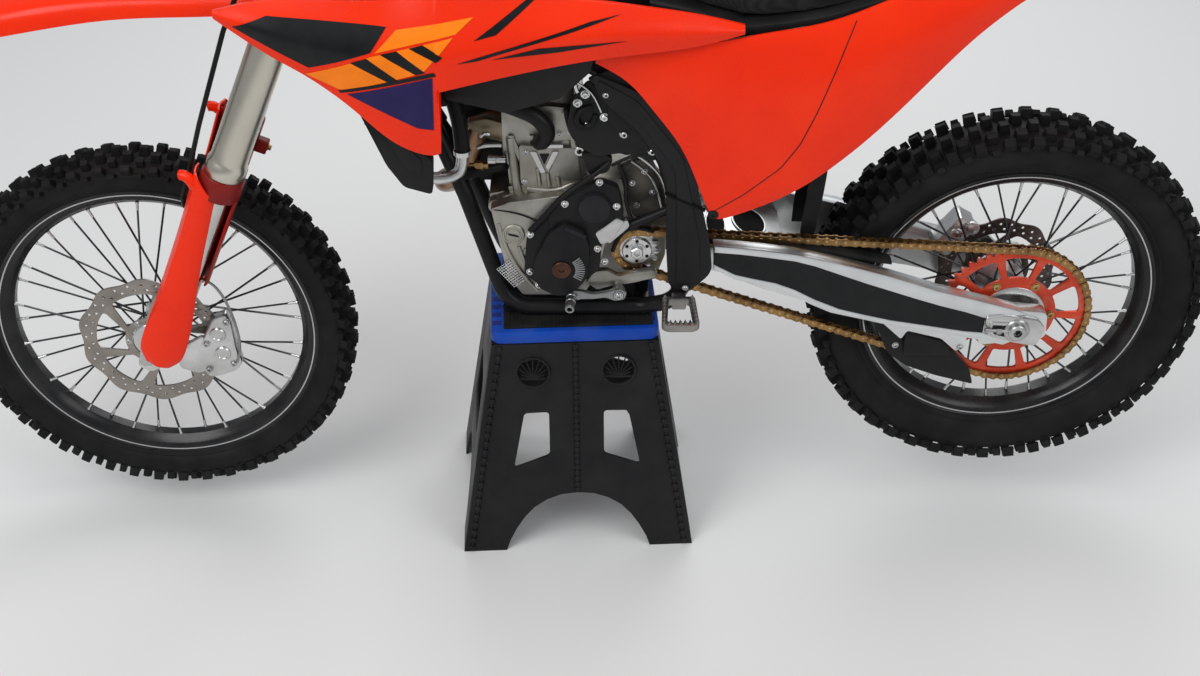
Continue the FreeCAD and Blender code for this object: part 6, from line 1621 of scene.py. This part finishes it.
def fork():
    rows = [guard_row(*station) for station in GUARD_STATIONS]
    lug = [at_fork(372, 62, -FORK_SIDE - 20), at_fork(388, 78, -FORK_SIDE - 16),
           at_fork(380, 90, -FORK_SIDE - 12)]
    guard = [shell(faced(sheet_grid(rows, (1, 3)), -Y_WAY)), pipe(lug, 9)]
    finished("fork_guard_shells", guard, "orange_plastic", node="fork_guards", body="steering", pair=True)
    # The guard's inner wall, coloured dark red as painted shade
    liner = turned(((33, 0), (35, 3), (35, 206), (33, 209), (31, 209), (31, 0)), on_tube(188), FORK_UP, 40)
    cut(liner, on_tube(200), Y_WAY * 0.9 - FORK_AHEAD * 0.43)
    finished("guard_liners", liner, "guard_inside_painted_shade", body="steering", pair=True)
    seal = turned(((34.5, 0), (36, 3), (36, 36), (34.5, 39), (25, 39), (25, 0)), on_tube(364), FORK_UP, 40)
    finished("seal_rings", seal, "seal_red", body="steering", pair=True)
    hose = cut(refined("front_brake_hose", 0), at_fork(300, 60), FORK_UP)
    finished("front_brake_hose_finished", hose, "hose_black", node="front_brake_hose", body="steering")
    tube = turned(OUTER_TUBE, on_tube(402), FORK_UP)
    finished("fork_outer_tubes", tube, "fork_nickel", node="fork_tubes", body="steering", pair=True)
    legs = refined("fork_legs", 2)
    finished("fork_legs_finished", legs, "stanchion_chrome", "fork_legs", "steering")
    clip = box((-10, -9, -13), (22, 9, 13), 3, moved(at_fork(352, -6, FORK_SIDE)) @ turned_about("Y", RAKE))
    finished("clip", clip, "seal_red", body="steering")
    bolts("clip_bolt", [at_fork(352, -28, FORK_SIDE)], 5, 6, -FORK_AHEAD, "bronze_fitting",
          "steering")


# Nodes that keep their shape. Columns: node, width of the softened edges, look, body
KEPT = (
    ("triple_clamps", 1.6, "clamp_orange", "steering"), ("front_axle", 0.8, "axle_steel", "steering"),
    ("front_plate", 1.2, "orange_plastic", "steering"), ("handlebar", 0, "bar_black", "steering"),
    ("grips", 0.8, "black_rubber", "steering"), ("controls", 1.5, "cover_black", "steering"),
    ("main_frame", 0, "frame_black"), ("subframe", 0, "subframe_alloy"),
    ("exhaust_header", 0, "exhaust_steel"), ("silencer", 1.5, "silencer_alloy"),
    ("radiators", 2, "radiator_alloy"), ("airbox", 3, "black_plastic"),
    ("bar_pad", 1.5, "pad_black", "steering"),
)


# Stand details

STAND_MIDDLE = -13
STAND_TURN = math.radians(2.7)
# Half width and half depth of the legs at the foot and at the top
LEG_FOOT, LEG_TOP, LEG_HEIGHT = (209, 173), (143, 125), 431
# The stand's walls, across and up from the middle of the foot
WALL_ARCH = ((131, 0), (124, 21), (111, 48), (96, 72), (78, 93), (55, 109), (29, 119), (0, 122))
WALL_WINDOW = ((48, 204), (112, 179), (91, 292), (48, 293))
END_ARCH = ((105, 0), (98, 34), (84, 66), (62, 94), (34, 108), (0, 112))
END_WINDOW = ((-70, 190), (70, 190), (56, 300), (-56, 300))
WALL_THICK, WALL_TOP = 5, 430
FAN_ACROSS, FAN_UP = 74, 374
MAT_START = -134
# Hinges in a side wall. Columns: how far inside the wall's edge or 0 for its middle, foot, radius
HINGES = ((0, 130, 3.6), (14, 10, 2.6), (-14, 10, 2.6))
KNUCKLE = ((0, -4.2), (4.4, -4.2), (5.2, -3.4), (5.2, 3.4), (4.4, 4.2), (0, 4.2))


def on_stand(x, y, z):
    """A place that turns with the stand about its upright middle line."""
    across = x - STAND_MIDDLE
    return at(STAND_MIDDLE + across * math.cos(STAND_TURN) - y * math.sin(STAND_TURN),
              across * math.sin(STAND_TURN) + y * math.cos(STAND_TURN), z)


def leg_face(height):
    """Half width and half depth of the legs at a height."""
    share = height / LEG_HEIGHT
    return (foot + (top - foot) * share for foot, top in zip(LEG_FOOT, LEG_TOP))


def wall_outline(foot, top, arch):
    left = [(-across, up) for across, up in arch]
    return [(foot, 0), (top, WALL_TOP), (-top, WALL_TOP), (-foot, 0)] + left + list(reversed(arch[:-1]))


def wall(outlines, way, is_end):
    """A leaning wall, on the side of the stand that the way names."""
    piece = flat(outlines, -WALL_THICK, 0, 0.8)
    for vertex in piece.data.vertices:
        across, inset, up = vertex.co / MM
        half, deep = leg_face(up)
        if is_end:
            vertex.co = on_stand(STAND_MIDDLE + way * (half + inset), across, up)
        else:
            vertex.co = on_stand(STAND_MIDDLE + across, way * (deep + inset), up)
    return outward(piece)


def stand_walls():
    other_window = [(-across, up) for across, up in WALL_WINDOW]
    broad = [wall_outline(208.6, 143, WALL_ARCH), rounded(WALL_WINDOW, 7), rounded(other_window, 7)]
    broad += [ring((side * FAN_ACROSS, FAN_UP), 28) for side in SIDES]
    narrow = [wall_outline(172.6, 124.8, END_ARCH), rounded(END_WINDOW, 14)]
    walls = [wall(outlines, way, outlines is narrow) for outlines in (broad, narrow) for way in SIDES]
    finished("stand_leg_walls", smooth(joined(walls)), "stand_black", node="stand_legs")


def hinge_line(side, inset, low):
    """Places up a wall, at its middle or inside one of its edges."""
    spots = []
    for step in range(25):
        height = low + (424 - low) * step / 24
        half, deep = leg_face(height)
        across = math.copysign(half - abs(inset), inset) if inset else 0
        spots.append(on_stand(STAND_MIDDLE + across, side * (deep + 0.6), height))
    return spots


def fan_grille(side, across):
    """Blades that spread over a round opening from a bar across it."""
    _, deep = leg_face(FAN_UP)
    middle = on_stand(STAND_MIDDLE + across, side * deep, FAN_UP)
    out = Vector((0, side, 0.11)).normalized()
    parts = [turned(((27, -1), (30.5, -1), (30.5, 1.4), (29, 2), (27, 1.4)), middle, out, 32)]
    foot = middle + at(0, 0, -15) - out * 0.002
    parts.append(pipe([foot - X_WAY * 0.025, foot, foot + X_WAY * 0.025], 2.4, sides=2))
    for blade in range(9):
        angle = math.radians(-64 + blade * 16)
        end = foot + Vector((math.sin(angle), 0, math.cos(angle))) * (0.042 * math.cos(angle) + 0.004)
        parts.append(pipe([foot, end], 1.3, order=2, sides=1))
    return parts


def top_rows(low, high, places):
    """Copies of a small block on the stand's top, turned with it."""
    block = box(low, high, 0.4)
    turn = turned_about("Z", STAND_TURN)
    return copies(block, [moved(on_stand(x, y, 0)) @ turn for x, y in places])


def stand():
    stand_walls()
    kept("stand_top", 3.5, "stand_blue")
    along = Vector((math.cos(STAND_TURN), math.sin(STAND_TURN), 0))
    mat = cut(refined("stand_mat", 0.8), on_stand(MAT_START, 0, 0), along)
    finished("stand_mat_finished", smooth(mat, 30), "black_rubber", node="stand_mat")
    parts = []
    for side in SIDES:
        for inset, low, radius in HINGES:
            spots = hinge_line(side, inset, low)
            parts.append(pipe([spots[0], spots[-1]], radius, order=2, sides=2))
            aim = turn_to(spots[-1] - spots[0])
            parts.append(copies(turned(KNUCKLE, steps=10), [moved(spot) @ aim for spot in spots]))
        for way in SIDES:
            parts += fan_grille(side, way * FAN_ACROSS)
    finished("stand_hinges", parts, "stand_black")
    # Dark blue blocks in the notches at the ends of the top: painted shade
    for x, half in ((-146, 8), (122, 4)):
        notches = top_rows((x - half, -6.5, 455.8), (x + half, 6.5, 456.9),
                           [(0, y) for y in range(-96, 97, 24)])
        finished(f"top_notches_{x}", notches, "notch_shade_blue")
    ribs = top_rows((-1.5, -112, 459.4), (1.5, 112, 460.6), [(x, 0) for x in range(-130, 120, 6)])
    finished("mat_ribs", ribs, "black_rubber")


# Stage, lights and camera

CAMERA_PLACE = Vector((0.0195, -2.4159, 2.1068))
CAMERA_YAW, CAMERA_PITCH = 0.0067, 0.6289
CAMERA_LENS, CAMERA_SENSOR = 49.92, 36
ROOM_COLOUR, ROOM_STRENGTH = (0.92, 0.95, 1, 1), 0.42
# Lamps. Columns: name, place, aim, size, power in watts
LAMPS = (("key", (-2.2, -2.6, 3.6), (0, 0, 0.6), 2.4, 92), ("fill", (2.8, -2.4, 2.6), (0, 0, 0.6), 2.2, 36),
         ("back", (0.6, 3.0, 3.0), (0, 0, 0.7), 2.6, 52), ("top", (0, -0.4, 4.2), (0, 0, 0.5), 2.6, 40))


def stage():
    floor = added(bpy.ops.mesh.primitive_plane_add, size=40)
    floor.name = "floor"
    pale = Finish("pale_floor", Base_Color=(0.72, 0.72, 0.71, 1), Roughness=0.75)
    floor.data.materials.append(pale.material)


def look_along(piece, way):
    piece.rotation_euler = way.to_track_quat("-Z", "Y").to_euler()


def lights():
    world = bpy.data.worlds.new("pale_room")
    bpy.context.scene.world = world
    world.use_nodes = True
    world.node_tree.nodes["Background"].inputs["Color"].default_value = ROOM_COLOUR
    world.node_tree.nodes["Background"].inputs["Strength"].default_value = ROOM_STRENGTH
    for name, place, aim, size, power in LAMPS:
        lamp = added(bpy.ops.object.light_add, type="AREA", location=place)
        lamp.name = name
        lamp.data.size = size
        lamp.data.energy = power
        look_along(lamp, Vector(aim) - Vector(place))


def camera():
    view = added(bpy.ops.object.camera_add, location=CAMERA_PLACE)
    look_along(view, Vector((math.sin(CAMERA_YAW) * math.cos(CAMERA_PITCH),
                             math.cos(CAMERA_YAW) * math.cos(CAMERA_PITCH), -math.sin(CAMERA_PITCH))))
    view.data.lens = CAMERA_LENS
    view.data.sensor_width = CAMERA_SENSOR
    bpy.context.scene.camera = view


bpy.context.scene.view_settings.view_transform = "Standard"
stage()
lights()
camera()
pins = chain_pins()
wheels(pins)
drive_chain(pins)
drive_sprocket(pins)
swingarm()
chain_guide()
engine()
pegs_and_levers()
calipers()
shock()
shrouds()
side_panels()
fenders()
tank()
seat()
under_seat()
guards()
fork()
for row in KEPT:
    kept(*row)
stand()
